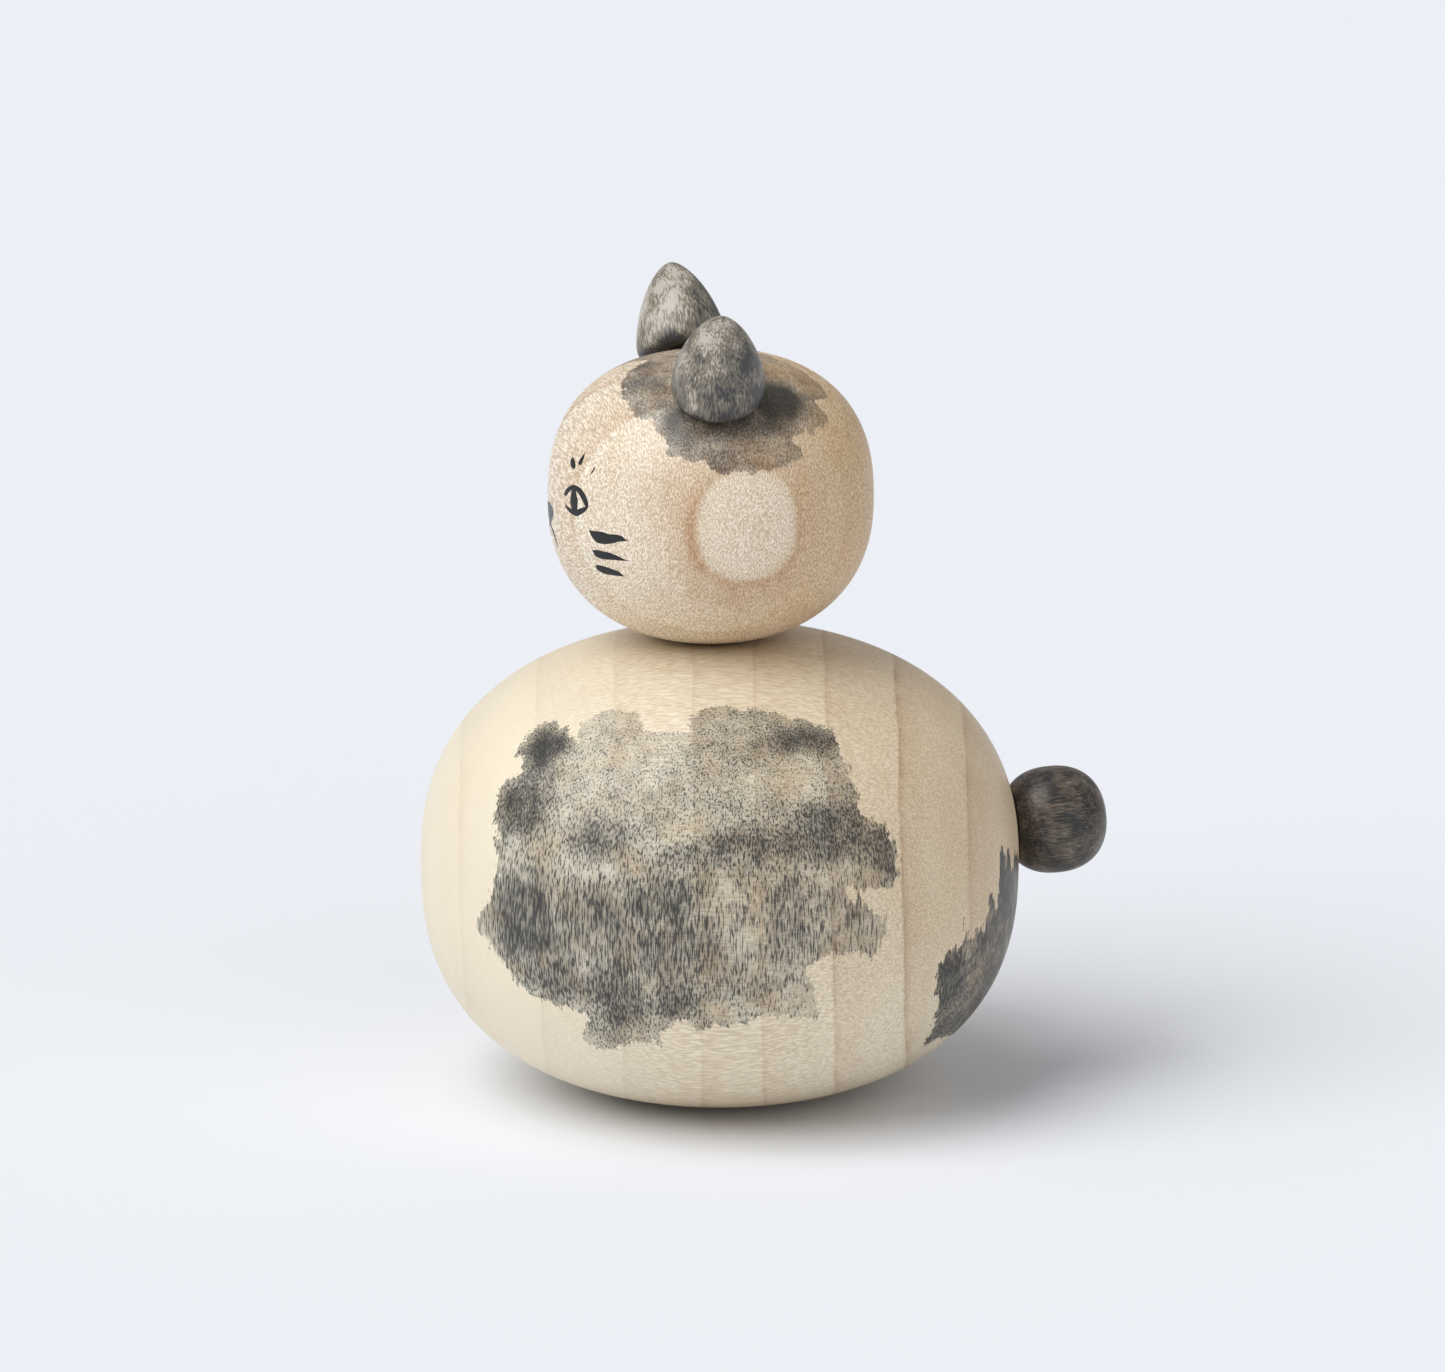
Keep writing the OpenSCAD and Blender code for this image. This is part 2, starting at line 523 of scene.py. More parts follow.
@dataclass(frozen=True)
class Stroke:
    """One mark of a fine brush on a turned form, given by its two edges.

    Each edge's points are (degrees from the middle of the face, height above the head's widest turn
    in millimetres), from the brush's first touch to where it lifted off. The film of ink is drawn
    thicker than a real one, and thins to nothing at the ends and the edges.
    """

    upper: list[Point]
    lower: list[Point]
    film: float = 0.02
    blunt: float = 0.3

    def surface(self, form: TurnedForm, side: Side, rows: int = 60, columns: int = 20) -> Array:
        """The mark as a thin closed skin on the form.

        Args:
            form: the turned form.
            side: which half of the face it is on.
            rows: points along the mark.
            columns: points round it.

        Returns:
            rows x columns x 3 in millimetres. Each row runs out along one edge and back along the
            other: position = middle + (upper - lower) / 2 times the cosine of the turn, lifted off
            the wood by the film times its sine.
        """
        upper, lower = [along_curve(np.array(e, float), rows) for e in (self.upper, self.lower)]
        turn = np.linspace(0, 2 * math.pi, columns, endpoint=False)[None, :, None]
        spread = (upper + lower)[:, None] / 2 + (upper - lower)[:, None] / 2 * np.cos(turn)
        ends = np.sin(np.linspace(0, math.pi, rows))[:, None] ** self.blunt
        lift = self.film * ends * np.sin(turn[..., 0])
        world = -90 + side.value * spread[..., 0]
        points = form.place(world.ravel(), spread[..., 1].ravel(), lift.ravel())
        points = points.reshape(rows, columns, 3)
        return points if side is Side.RIGHT else points[:, ::-1]


def along_curve(knots: Array, count: int) -> Array:
    """Evenly spaced points on a smooth open curve through the knots.

    Args:
        knots: the curve's points.
        count: how many points to return.

    Returns:
        count x 2 points on the Catmull-Rom curve, even in length.
    """
    fine_steps = 16
    ends = np.vstack([2 * knots[0] - knots[1], knots, 2 * knots[-1] - knots[-2]])
    fine = smooth_ring(ends, fine_steps)[fine_steps : fine_steps * len(knots) + 1]
    steps = np.hypot(*np.diff(fine, axis=0).T)
    length = np.concatenate([[0], np.cumsum(steps)])
    even = np.linspace(0, length[-1], count)
    return np.stack([np.interp(even, length, fine[:, i]) for i in (0, 1)], axis=-1)


# --------------------------------------------------------------------------------------------------
# Finishes


@dataclass(frozen=True)
class Finish:
    """What every finish shares: a name, a fresh material and noise drawn out along the grain."""

    name: str

    def start(self) -> tuple[bpy.types.Material, Tree]:
        """Begin the material.

        Returns:
            A new material and its emptied node tree.
        """
        material = bpy.data.materials.new(self.name)
        material.use_nodes = True
        material.node_tree.nodes.clear()
        return material, material.node_tree

    def grain(
        self,
        tree: Tree,
        place: Socket,
        size: Sizes,
        detail: float,
        turn: float = 0.0,
        bend: float = 0.0,
    ) -> Socket:
        """Noise whose grains have a size along each of three directions.

        Args:
            tree: the node tree.
            place: the coordinate socket.
            size: grain size along the three directions, in the coordinate's own unit.
            detail: how much finer noise is laid over the grains.
            turn: angle of the first direction from X, in radians.
            bend: how much the grains are bent.

        Returns:
            The noise's value socket, from 0 to 1 with its middle at 0.5.
        """
        turned = add(
            tree, "VectorRotate", {"Vector": place, "Angle": -turn}, rotation_type="Z_AXIS"
        )
        scaled = add(
            tree,
            "VectorMath",
            {0: turned.outputs["Vector"], 1: [1 / s for s in size]},
            operation="MULTIPLY",
        )
        noise = add(
            tree,
            "TexNoise",
            {"Vector": scaled.outputs[0], "Scale": 1.0, "Detail": detail, "Distortion": bend},
        )
        return noise.outputs["Fac"]


@dataclass(frozen=True)
class BrushedMaple(Finish):
    """Maple, turned and sanded, brushed with thin grey ink and waxed.

    What gives it to the eye: cream wood that turns tan towards the heart, thin brown growth rings,
    short bright ray flecks, and grey ink sunk into the pores, so that it is a crowd of dark dots
    and dashes over a thin veil with bristle marks at its edge. The wax leaves a soft sheen.

    Sizes are in millimetres along x, y and z, but the fleck's are along the ray, across it and up.
    Maple's pores are 0.05 to 0.1 mm across and its rays as fine in section, too fine to show, so
    pore and fleck are drawn about twice as coarse as the real ones.
    """

    pale: str
    tan: str
    ring_line: str
    ring_shape: Stops
    radial: Sizes
    pore: Sizes
    fleck: Sizes
    bristle: float
    pooled: float
    warmth: float
    blotch: Sizes = (5.0, 5.0, 16.0)
    blotch_share: float = 0.7
    fleck_shades: Stops = (
        (0.4, linear("c4b5a0")), (0.52, linear("e8dfd3")), (0.61, linear("ffffff")),
    )
    ring_wave: Sizes = (7.0, 7.0, 14.0)
    ring_bend: float = 0.1
    ring_patch: Sizes = (2.5, 2.5, 9.0)
    ring_fade: Stops = ((0.3, 0.5), (0.7, 1.0))
    lobe: Sizes = (1.4, 1.4, 1.4)
    lobe_reach: float = 2.6
    thread: Sizes = (0.22, 0.22, 2.6)
    edge_blur: float = 0.06
    pool: Sizes = (1.9, 1.9, 2.2)
    pool_share: float = 0.7
    pool_level: float = -0.32
    dot_contrast: float = 7.2
    dot_gain: float = 1.7
    dot_start: float = -4.3
    ink: str = "202327"
    veil: Stops = (
        (0.2, linear("eff2f5")), (0.5, linear("d4d8dc")), (0.75, linear("abafb4")),
        (1.0, linear("6b6e70")),
    )
    warm_size: Sizes = (3.6, 3.6, 3.0)
    warm_wash: str = "dcc3a4"
    relief: float = 0.15
    relief_depth: float = 0.04
    roughness: float = 0.42
    ior: float = 1.48

    def build(self) -> bpy.types.Material:
        """Make the node tree.

        Returns:
            The material. It reads Object coordinates and the attributes tone, ring, ringed,
            flecked, edge and ink.
        """
        material, tree = self.start()
        metres = add(tree, "TexCoord").outputs["Object"]
        place = add(tree, "VectorMath", {0: metres, "Scale": 1 / MM}, operation="SCALE").outputs[0]
        pores = self.grain(tree, place, self.pore, 2.0)
        stained = self.stain(tree, place, self.wood_colour(tree, place), pores)
        flecked = self.flecked(tree, place, stained)
        bump = add(
            tree,
            "Bump",
            {"Strength": self.relief, "Distance": self.relief_depth * MM, "Height": pores},
        )
        shader = add(
            tree,
            "BsdfPrincipled",
            {
                "Base Color": flecked,
                "Roughness": self.roughness,
                "Normal": bump.outputs["Normal"],
                "IOR": self.ior,
            },
        )
        add(tree, "OutputMaterial", {"Surface": shader.outputs["BSDF"]})
        return material

    def wood_colour(self, tree: Tree, place: Socket) -> Socket:
        """The bare wood's colour.

        Args:
            tree: the node tree.
            place: the place socket, in millimetres.

        Returns:
            A colour socket: pale to tan by an attribute that holds the heartwood's tan and
            painted shade, and by slow clouds, times the brown of the growth rings.
        """
        # This attribute holds the heartwood's tan, and painted shade towards the back and at the
        # foot.
        tone = add(tree, "Attribute", attribute_name="tone").outputs["Fac"]
        clouds = self.grain(tree, place, self.blotch, 3.0)
        blotch = add(
            tree,
            "Math",
            {0: clouds, 1: self.blotch_share, 2: -self.blotch_share / 2},
            operation="MULTIPLY_ADD",
        )
        share = add(tree, "Math", {0: tone, 1: blotch.outputs[0]}, operation="ADD")
        base = add(
            tree,
            "ValToRGB",
            {"Fac": share.outputs[0]},
            stops=((0.0, linear(self.pale)), (1.0, linear(self.tan))),
        )
        brown = add(
            tree,
            "Mix",
            {
                "Factor": self.ring_strength(tree, place),
                "A": linear("ffffff"),
                "B": linear(self.ring_line),
            },
            data_type="RGBA",
        )
        ringed = add(
            tree,
            "Mix",
            {"Factor": 1.0, "A": base.outputs["Color"], "B": brown.outputs["Result"]},
            data_type="RGBA",
            blend_type="MULTIPLY",
        )
        return ringed.outputs["Result"]

    def flecked(self, tree: Tree, place: Socket, colour: Socket) -> Socket:
        """Lay the ray flecks over a colour.

        Args:
            tree: the node tree.
            place: the place socket, in millimetres.
            colour: the colour socket.

        Returns:
            The colour times the flecks' light and dark, as strongly as the flecked attribute says.
        """
        turn = math.atan2(self.radial[1], self.radial[0])
        flecks = self.grain(tree, place, self.fleck, 2.0, turn)
        amount = add(tree, "Attribute", attribute_name="flecked").outputs["Fac"]
        bright = add(tree, "ValToRGB", {"Fac": flecks}, stops=self.fleck_shades)
        lit = add(
            tree,
            "Mix",
            {"Factor": amount, "A": colour, "B": bright.outputs["Color"]},
            data_type="RGBA",
            blend_type="MULTIPLY",
        )
        return lit.outputs["Result"]

    def ring_strength(self, tree: Tree, place: Socket) -> Socket:
        """How brown the growth rings are at each point.

        Args:
            tree: the node tree.
            place: the place socket, in millimetres.

        Returns:
            A value socket: the ring attribute, bent a little and cut to its fraction, shaped by
            the finish's own curve from one ring to the next, and uneven along each ring.
        """
        ring = add(tree, "Attribute", attribute_name="ring").outputs["Fac"]
        ringed = add(tree, "Attribute", attribute_name="ringed").outputs["Fac"]
        wave = self.grain(tree, place, self.ring_wave, 2.0)
        bent = add(
            tree, "Math", {0: wave, 1: self.ring_bend, 2: ring}, operation="MULTIPLY_ADD"
        )
        phase = add(tree, "Math", {0: bent.outputs[0]}, operation="FRACT")
        line = add(tree, "ValToRGB", {"Fac": phase.outputs[0]}, stops=self.ring_shape)
        patchy = self.grain(tree, place, self.ring_patch, 2.0)
        uneven = add(tree, "ValToRGB", {"Fac": patchy}, stops=self.ring_fade)
        here = add(tree, "Math", {0: uneven.outputs["Color"], 1: ringed}, operation="MULTIPLY")
        return add(
            tree, "Math", {0: line.outputs["Color"], 1: here.outputs[0]}, operation="MULTIPLY"
        ).outputs[0]

    def ink_edge(self, tree: Tree, place: Socket) -> Socket:
        """Where there is ink.

        Args:
            tree: the node tree.
            place: the place socket, in millimetres.

        Returns:
            A value from 0 outside to 1 inside. The edge attribute is pushed in and out by lobes
            the size of a brush tip and by bristle threads along the grain, then cut off sharply.
        """
        edge = add(tree, "Attribute", attribute_name="edge").outputs["Fac"]
        lobes = self.grain(tree, place, self.lobe, 3.0)
        threads = self.grain(tree, place, self.thread, 1.0)
        pushed = add(
            tree, "Math", {0: lobes, 1: self.lobe_reach, 2: edge}, operation="MULTIPLY_ADD"
        )
        crept = add(
            tree,
            "Math",
            {0: threads, 1: self.bristle, 2: pushed.outputs[0]},
            operation="MULTIPLY_ADD",
        )
        middle = (self.lobe_reach + self.bristle) / 2
        return add(
            tree,
            "MapRange",
            {
                "Value": crept.outputs[0],
                "From Min": middle - self.edge_blur,
                "From Max": middle + self.edge_blur,
            },
            interpolation_type="SMOOTHSTEP",
        ).outputs[0]

    def stain(self, tree: Tree, place: Socket, wood: Socket, pores: Socket) -> Socket:
        """Lay the ink over the wood.

        Args:
            tree: the node tree.
            place: the place socket, in millimetres.
            wood: the bare wood's colour socket.
            pores: the pores' value socket.

        Returns:
            The stained colour. The ink's density is the ink attribute plus small clouds. The wood
            is multiplied by a grey veil, darker where the ink is denser and browner in places, and
            mixed towards near black in the pores, of which more are filled where it is denser.
        """
        covered = self.ink_edge(tree, place)
        dark = add(tree, "Attribute", attribute_name="ink").outputs["Fac"]
        clouds = self.grain(tree, place, self.pool, 5.0)
        raised = add(
            tree, "Math", {0: clouds, 1: self.pool_share, 2: dark}, operation="MULTIPLY_ADD"
        )
        dense = add(tree, "Math", {0: raised.outputs[0], 1: self.pool_level}, operation="ADD")
        veil = add(tree, "ValToRGB", {"Fac": dense.outputs[0]}, stops=self.veil)
        washes = self.grain(tree, place, self.warm_size, 2.0)
        brown = add(tree, "ValToRGB", {"Fac": washes}, stops=((0.4, 0.0), (0.7, self.warmth)))
        warmed = add(
            tree,
            "Mix",
            {
                "Factor": brown.outputs["Color"],
                "A": veil.outputs["Color"],
                "B": linear(self.warm_wash),
            },
            data_type="RGBA",
            blend_type="MULTIPLY",
        )
        veiled = add(
            tree,
            "Mix",
            {"Factor": covered, "A": wood, "B": warmed.outputs["Result"]},
            data_type="RGBA",
            blend_type="MULTIPLY",
        )
        filled = add(
            tree,
            "Math",
            {0: dense.outputs[0], 1: self.dot_gain, 2: self.dot_start},
            operation="MULTIPLY_ADD",
        )
        dots = add(
            tree,
            "Math",
            {0: pores, 1: self.dot_contrast, 2: filled.outputs[0]},
            operation="MULTIPLY_ADD",
            use_clamp=True,
        )
        inked = add(tree, "Math", {0: covered, 1: dots.outputs[0]}, operation="MULTIPLY")
        share = add(tree, "Math", {0: inked.outputs[0], 1: self.pooled}, operation="MULTIPLY")
        mixed = add(
            tree,
            "Mix",
            {"Factor": share.outputs[0], "A": veiled.outputs["Result"], "B": linear(self.ink)},
            data_type="RGBA",
        )
        return mixed.outputs["Result"]


@dataclass(frozen=True)
class DyedMaple(Finish):
    """Maple dyed grey with thin ink before it was fitted.

    What gives it to the eye: the dye fills the pores as dark dashes, and tan wood and pale rubbed
    fibres show between them, in clouds. Sizes are in millimetres across, across and along the
    piece, and the fibres are drawn about twice as coarse as the real ones, so that they show.
    """

    dye: str
    wood: str
    rubbed: str
    fibre: Sizes = (0.17, 0.17, 1.3)
    fibre_share: float = 2.1
    fibre_bend: float = 0.3
    cloud: Sizes = (1.8, 1.8, 2.4)
    cloud_share: float = 2.1
    wood_stop: float = 0.75
    relief: float = 0.3
    relief_depth: float = 0.05
    roughness: float = 0.38
    ior: float = 1.5

    def build(self) -> bpy.types.Material:
        """Make the node tree.

        Returns:
            The material. It reads the attributes own, the piece's own coordinates in
            millimetres, and bare, how far the dye has worn off; on the ears bare also holds
            painted shade at the base and a painted highlight on the right one.
        """
        material, tree = self.start()
        own = add(tree, "Attribute", attribute_name="own").outputs["Vector"]
        bare = add(tree, "Attribute", attribute_name="bare").outputs["Fac"]
        fibres = self.grain(tree, own, self.fibre, 2.0, bend=self.fibre_bend)
        clouds = self.grain(tree, own, self.cloud, 3.0)
        cloudy = add(
            tree,
            "Math",
            {0: clouds, 1: self.cloud_share, 2: -self.cloud_share / 2},
            operation="MULTIPLY_ADD",
        )
        shown = add(tree, "Math", {0: bare, 1: cloudy.outputs[0]}, operation="ADD")
        specks = add(
            tree,
            "Math",
            {0: fibres, 1: self.fibre_share, 2: -self.fibre_share / 2},
            operation="MULTIPLY_ADD",
        )
        share = add(
            tree,
            "Math",
            {0: shown.outputs[0], 1: specks.outputs[0]},
            operation="ADD",
            use_clamp=True,
        )
        # Pale rubbed fibre tops the ramp; the right ear's painted highlight also reaches it, and the
        # painted shade at the ears' base runs towards the dye.
        shades = (
            (0.0, linear(self.dye)),
            (self.wood_stop, linear(self.wood)),
            (1.0, linear(self.rubbed)),
        )
        colour = add(tree, "ValToRGB", {"Fac": share.outputs[0]}, stops=shades)
        bump = add(
            tree,
            "Bump",
            {"Strength": self.relief, "Distance": self.relief_depth * MM, "Height": fibres},
        )
        shader = add(
            tree,
            "BsdfPrincipled",
            {
                "Base Color": colour.outputs["Color"],
                "Roughness": self.roughness,
                "Normal": bump.outputs["Normal"],
                "IOR": self.ior,
            },
        )
        add(tree, "OutputMaterial", {"Surface": shader.outputs["BSDF"]})
        return material


@dataclass(frozen=True)
class SumiInk(Finish):
    """Sumi ink, brushed on and dried: soft black, thinner where the brush ran dry."""

    colour: str
    thin: str
    streak: Sizes = (0.25 * MM, 0.25 * MM, 0.5 * MM)
    roughness: float = 0.5
    ior: float = 1.5

    def build(self) -> bpy.types.Material:
        """Make the node tree.

        Returns:
            The material, which reads Object coordinates.
        """
        material, tree = self.start()
        place = add(tree, "TexCoord").outputs["Object"]
        noise = self.grain(tree, place, self.streak, 2.0)
        colour = add(
            tree,
            "ValToRGB",
            {"Fac": noise},
            stops=((0.42, linear(self.colour)), (0.7, linear(self.thin))),
        )
        shader = add(
            tree,
            "BsdfPrincipled",
            {
                "Base Color": colour.outputs["Color"],
                "Roughness": self.roughness,
                "IOR": self.ior,
            },
        )
        add(tree, "OutputMaterial", {"Surface": shader.outputs["BSDF"]})
        return material


@dataclass(frozen=True)
class Dowel(Finish):
    """Beech dowel, rolled and left bare: tan, with short dark flecks along its length."""

    light: str
    dark: str
    streak: Sizes = (0.25 * MM, 0.25 * MM, 1.5 * MM)
    roughness: float = 0.6
    ior: float = 1.5

    def build(self) -> bpy.types.Material:
        """Make the node tree.

        Returns:
            The material, which reads Object coordinates.
        """
        material, tree = self.start()
        place = add(tree, "TexCoord").outputs["Object"]
        noise = self.grain(tree, place, self.streak, 2.0)
        colour = add(
            tree,
            "ValToRGB",
            {"Fac": noise},
            stops=((0.35, linear(self.dark)), (0.6, linear(self.light))),
        )
        shader = add(
            tree,
            "BsdfPrincipled",
            {
                "Base Color": colour.outputs["Color"],
                "Roughness": self.roughness,
                "IOR": self.ior,
            },
        )
        add(tree, "OutputMaterial", {"Surface": shader.outputs["BSDF"]})
        return material


# A ring_shape runs from one ring line (0) to the next (1); each value is how brown the wood is.
MAPLE_BODY = BrushedMaple(
    name="brushed_maple_body",
    pale="efe4cd",
    tan="dfc9a8",
    ring_line="b08a66",
    ring_shape=(
        (0.0, 0.7), (0.03, 0.5), (0.1, 0.28), (0.45, 0.08), (0.96, 0.0), (0.99, 0.3), (1.0, 0.7),
    ),
    radial=(0.16, 0.987, 0.0),
    pore=(0.155, 0.155, 1.2),
    fleck=(1.3, 0.15, 0.19),
    bristle=1.5,
    pooled=0.85,
    warmth=0.45,
)
MAPLE_HEAD = BrushedMaple(
    name="brushed_maple_head",
    pale="fbf3e4",
    tan="dfc29a",
    ring_line="c79b6a",
    ring_shape=(
        (0.0, 0.5), (0.03, 0.05), (0.25, 0.08), (0.6, 0.26), (0.9, 0.42), (0.965, 0.72),
        (0.985, 0.72), (1.0, 0.5),
    ),
    radial=(0.996, 0.087, 0.0),
    pore=(0.13, 0.13, 0.35),
    fleck=(1.2, 0.12, 0.26),
    bristle=0.6,
    pooled=0.6,
    warmth=0.6,
)
MAPLE_EARS = DyedMaple(name="dyed_maple_ears", dye="3a3b3c", wood="8d8474", rubbed="bdb6ab")
MAPLE_TAIL = DyedMaple(name="dyed_maple_tail", dye="252423", wood="6b5f52", rubbed="8e857a")
INK_BLACK = SumiInk(name="sumi_ink_black", colour="0d0d0f", thin="232326")
INK_GREY = SumiInk(name="sumi_ink_grey", colour="4a4d52", thin="74777c")
PEG_BEECH = Dowel(name="beech_dowel", light="cfae86", dark="a88458")


# --------------------------------------------------------------------------------------------------
# The doll's pieces


@dataclass
class Body:
    """The round body: the turned form, its foot and crown flats and the stepped neck socket.

    Pairs of numbers are where a change of the wood starts and ends: along Y (front to back) or in
    height above the widest turn. The wood turns tan towards the back, less so low down: partly the
    heartwood's own tan and partly painted shade on the side turned from the key light. It is
    darker still at the foot towards the back, which is painted shade where the body meets the
    floor. Its flecks are stronger behind the front.
    """

    form: TurnedForm = TurnedForm(
        axis_y=0.0, widest_z=23.2, radius=30.0, top=23.2, base=23.4, top_shape=2.34, base_shape=2.5
    )
    crown_cut: float = 0.25
    throat: float = 3.05
    throat_depth: float = 6.0
    chamber: float = 4.1
    chamber_depth: float = 4.6
    neck_shift: float = -0.9
    edge_round: float = 0.2
    rows: int = 180
    columns: int = 460
    ring_lines: tuple[float, ...] = (-33, -25, -17.2, -9.4, -1.7, 4.2, 11.3, 18.3, 24.9, 32)
    ring_dark: tuple[float, ...] = (0.25, 0.25, 0.22, 0.26, 0.4, 0.5, 0.7, 1.0, 0.7, 0.6)
    ring_lean: float = 0.026
    # Tan towards the back: partly heartwood, partly painted shade on the side away from the key
    # light.
    heart_and_shade_y: Point = (-14.0, 34.0)
    heart_and_shade_height: Point = (-16.0, 4.0)
    heart_tone: Point = (0.02, 0.83)
    # Darker tan at the foot towards the back: painted shade where the body meets the floor.
    foot_shade_y: Point = (-20.0, 0.0)
    foot_shade_height: Point = (-23.0, -16.5)
    foot_tone: float = 0.6
    fleck_y: Point = (-24.0, -6.0)
    fleck_amount: Point = (0.12, 0.38)

    def profile(self) -> Array:
        """The body's outline from the middle of the foot round to the floor of the socket.

        Returns:
            (radius, height, shift) rows. The last stretches shift forward, because the socket
            stands on the neck's centre line and not on the body's.
        """
        crown = self.form.top - self.crown_cut
        foot = -self.form.widest_z
        curve = self.form.outline(foot, crown, self.rows)
        shift = self.neck_shift
        floor = crown - self.throat_depth - self.chamber_depth
        ceiling = crown - self.throat_depth
        socket = rounded_corners(
            np.array(
                [
                    [curve[-1, 0], crown, 0.0],
                    [self.throat, crown, shift],
                    [self.throat, ceiling, shift],
                    [self.chamber, ceiling, shift],
                    [self.chamber, floor, shift],
                    [0.0, floor, shift],
                ]
            ),
            self.edge_round,
        )
        middle = [[0.0, foot, 0.0], [curve[0, 0] * 0.5, foot, 0.0]]
        outer = np.column_stack([curve, np.zeros(len(curve))])
        return np.vstack([middle, outer, socket[1:]])

    def build(self) -> bpy.types.Object:
        """Make the mesh and the attributes that its finish reads.

        Returns:
            The object, in metres, where the CAD node is.
        """
        grid = revolve(self.profile(), self.columns, (self.form.axis_y, self.form.widest_z))
        piece = grid_mesh("doll_body", [grid * MM])
        points = vertices_of(piece) / MM
        azimuth, height = self.form.chart(points)
        across = points @ np.array(MAPLE_BODY.radial) + self.ring_lean * height
        count = np.arange(len(self.ring_lines))
        set_attribute(piece, "ring", np.interp(across, self.ring_lines, count))
        set_attribute(piece, "ringed", np.interp(across, self.ring_lines, self.ring_dark))
        y = points[:, 1]
        # Tan towards the back, partly the heartwood's own and partly painted shade away from the key
        # light.
        least, more = self.heart_tone
        upper = least + more * smoothstep(*self.heart_and_shade_height, height)
        # Painted shade at the foot, where the body meets the floor.
        foot = self.foot_tone * (1 - smoothstep(*self.foot_shade_height, height))
        tone = smoothstep(*self.heart_and_shade_y, y) * upper + foot * smoothstep(*self.foot_shade_y, y)
        set_attribute(piece, "tone", tone)
        least, more = self.fleck_amount
        set_attribute(piece, "flecked", least + more * smoothstep(*self.fleck_y, y))
        lay_ink(piece, self.form, BODY_PATCHES, azimuth, height)
        return piece

    def dress(self, piece: bpy.types.Object) -> None:
        """Give the body its finish and let it stand for its CAD node.

        Args:
            piece: the body's object.
        """
        piece.data.materials.append(MAPLE_BODY.build())
        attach(piece, "body")
        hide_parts("body")


def lay_ink(
    piece: bpy.types.Object, form: TurnedForm, patches: list[Patch], azimuth: Array, height: Array
) -> None:
    """Store the patches on a mesh: the greatest edge distance, and the darkness of that patch.

    Args:
        piece: the mesh object.
        form: its turned form.
        patches: the brushed patches.
        azimuth: degrees, one per vertex.
        height: height above the widest turn, one per vertex.
    """
    edge = np.stack([p.distance(form, azimuth, height) for p in patches])
    dark = np.stack([p.darkness(form, azimuth, height) for p in patches])
    nearest = edge.argmax(axis=0)
    across = np.arange(len(azimuth))
    set_attribute(piece, "edge", edge[nearest, across])
    set_attribute(piece, "ink", dark[nearest, across])


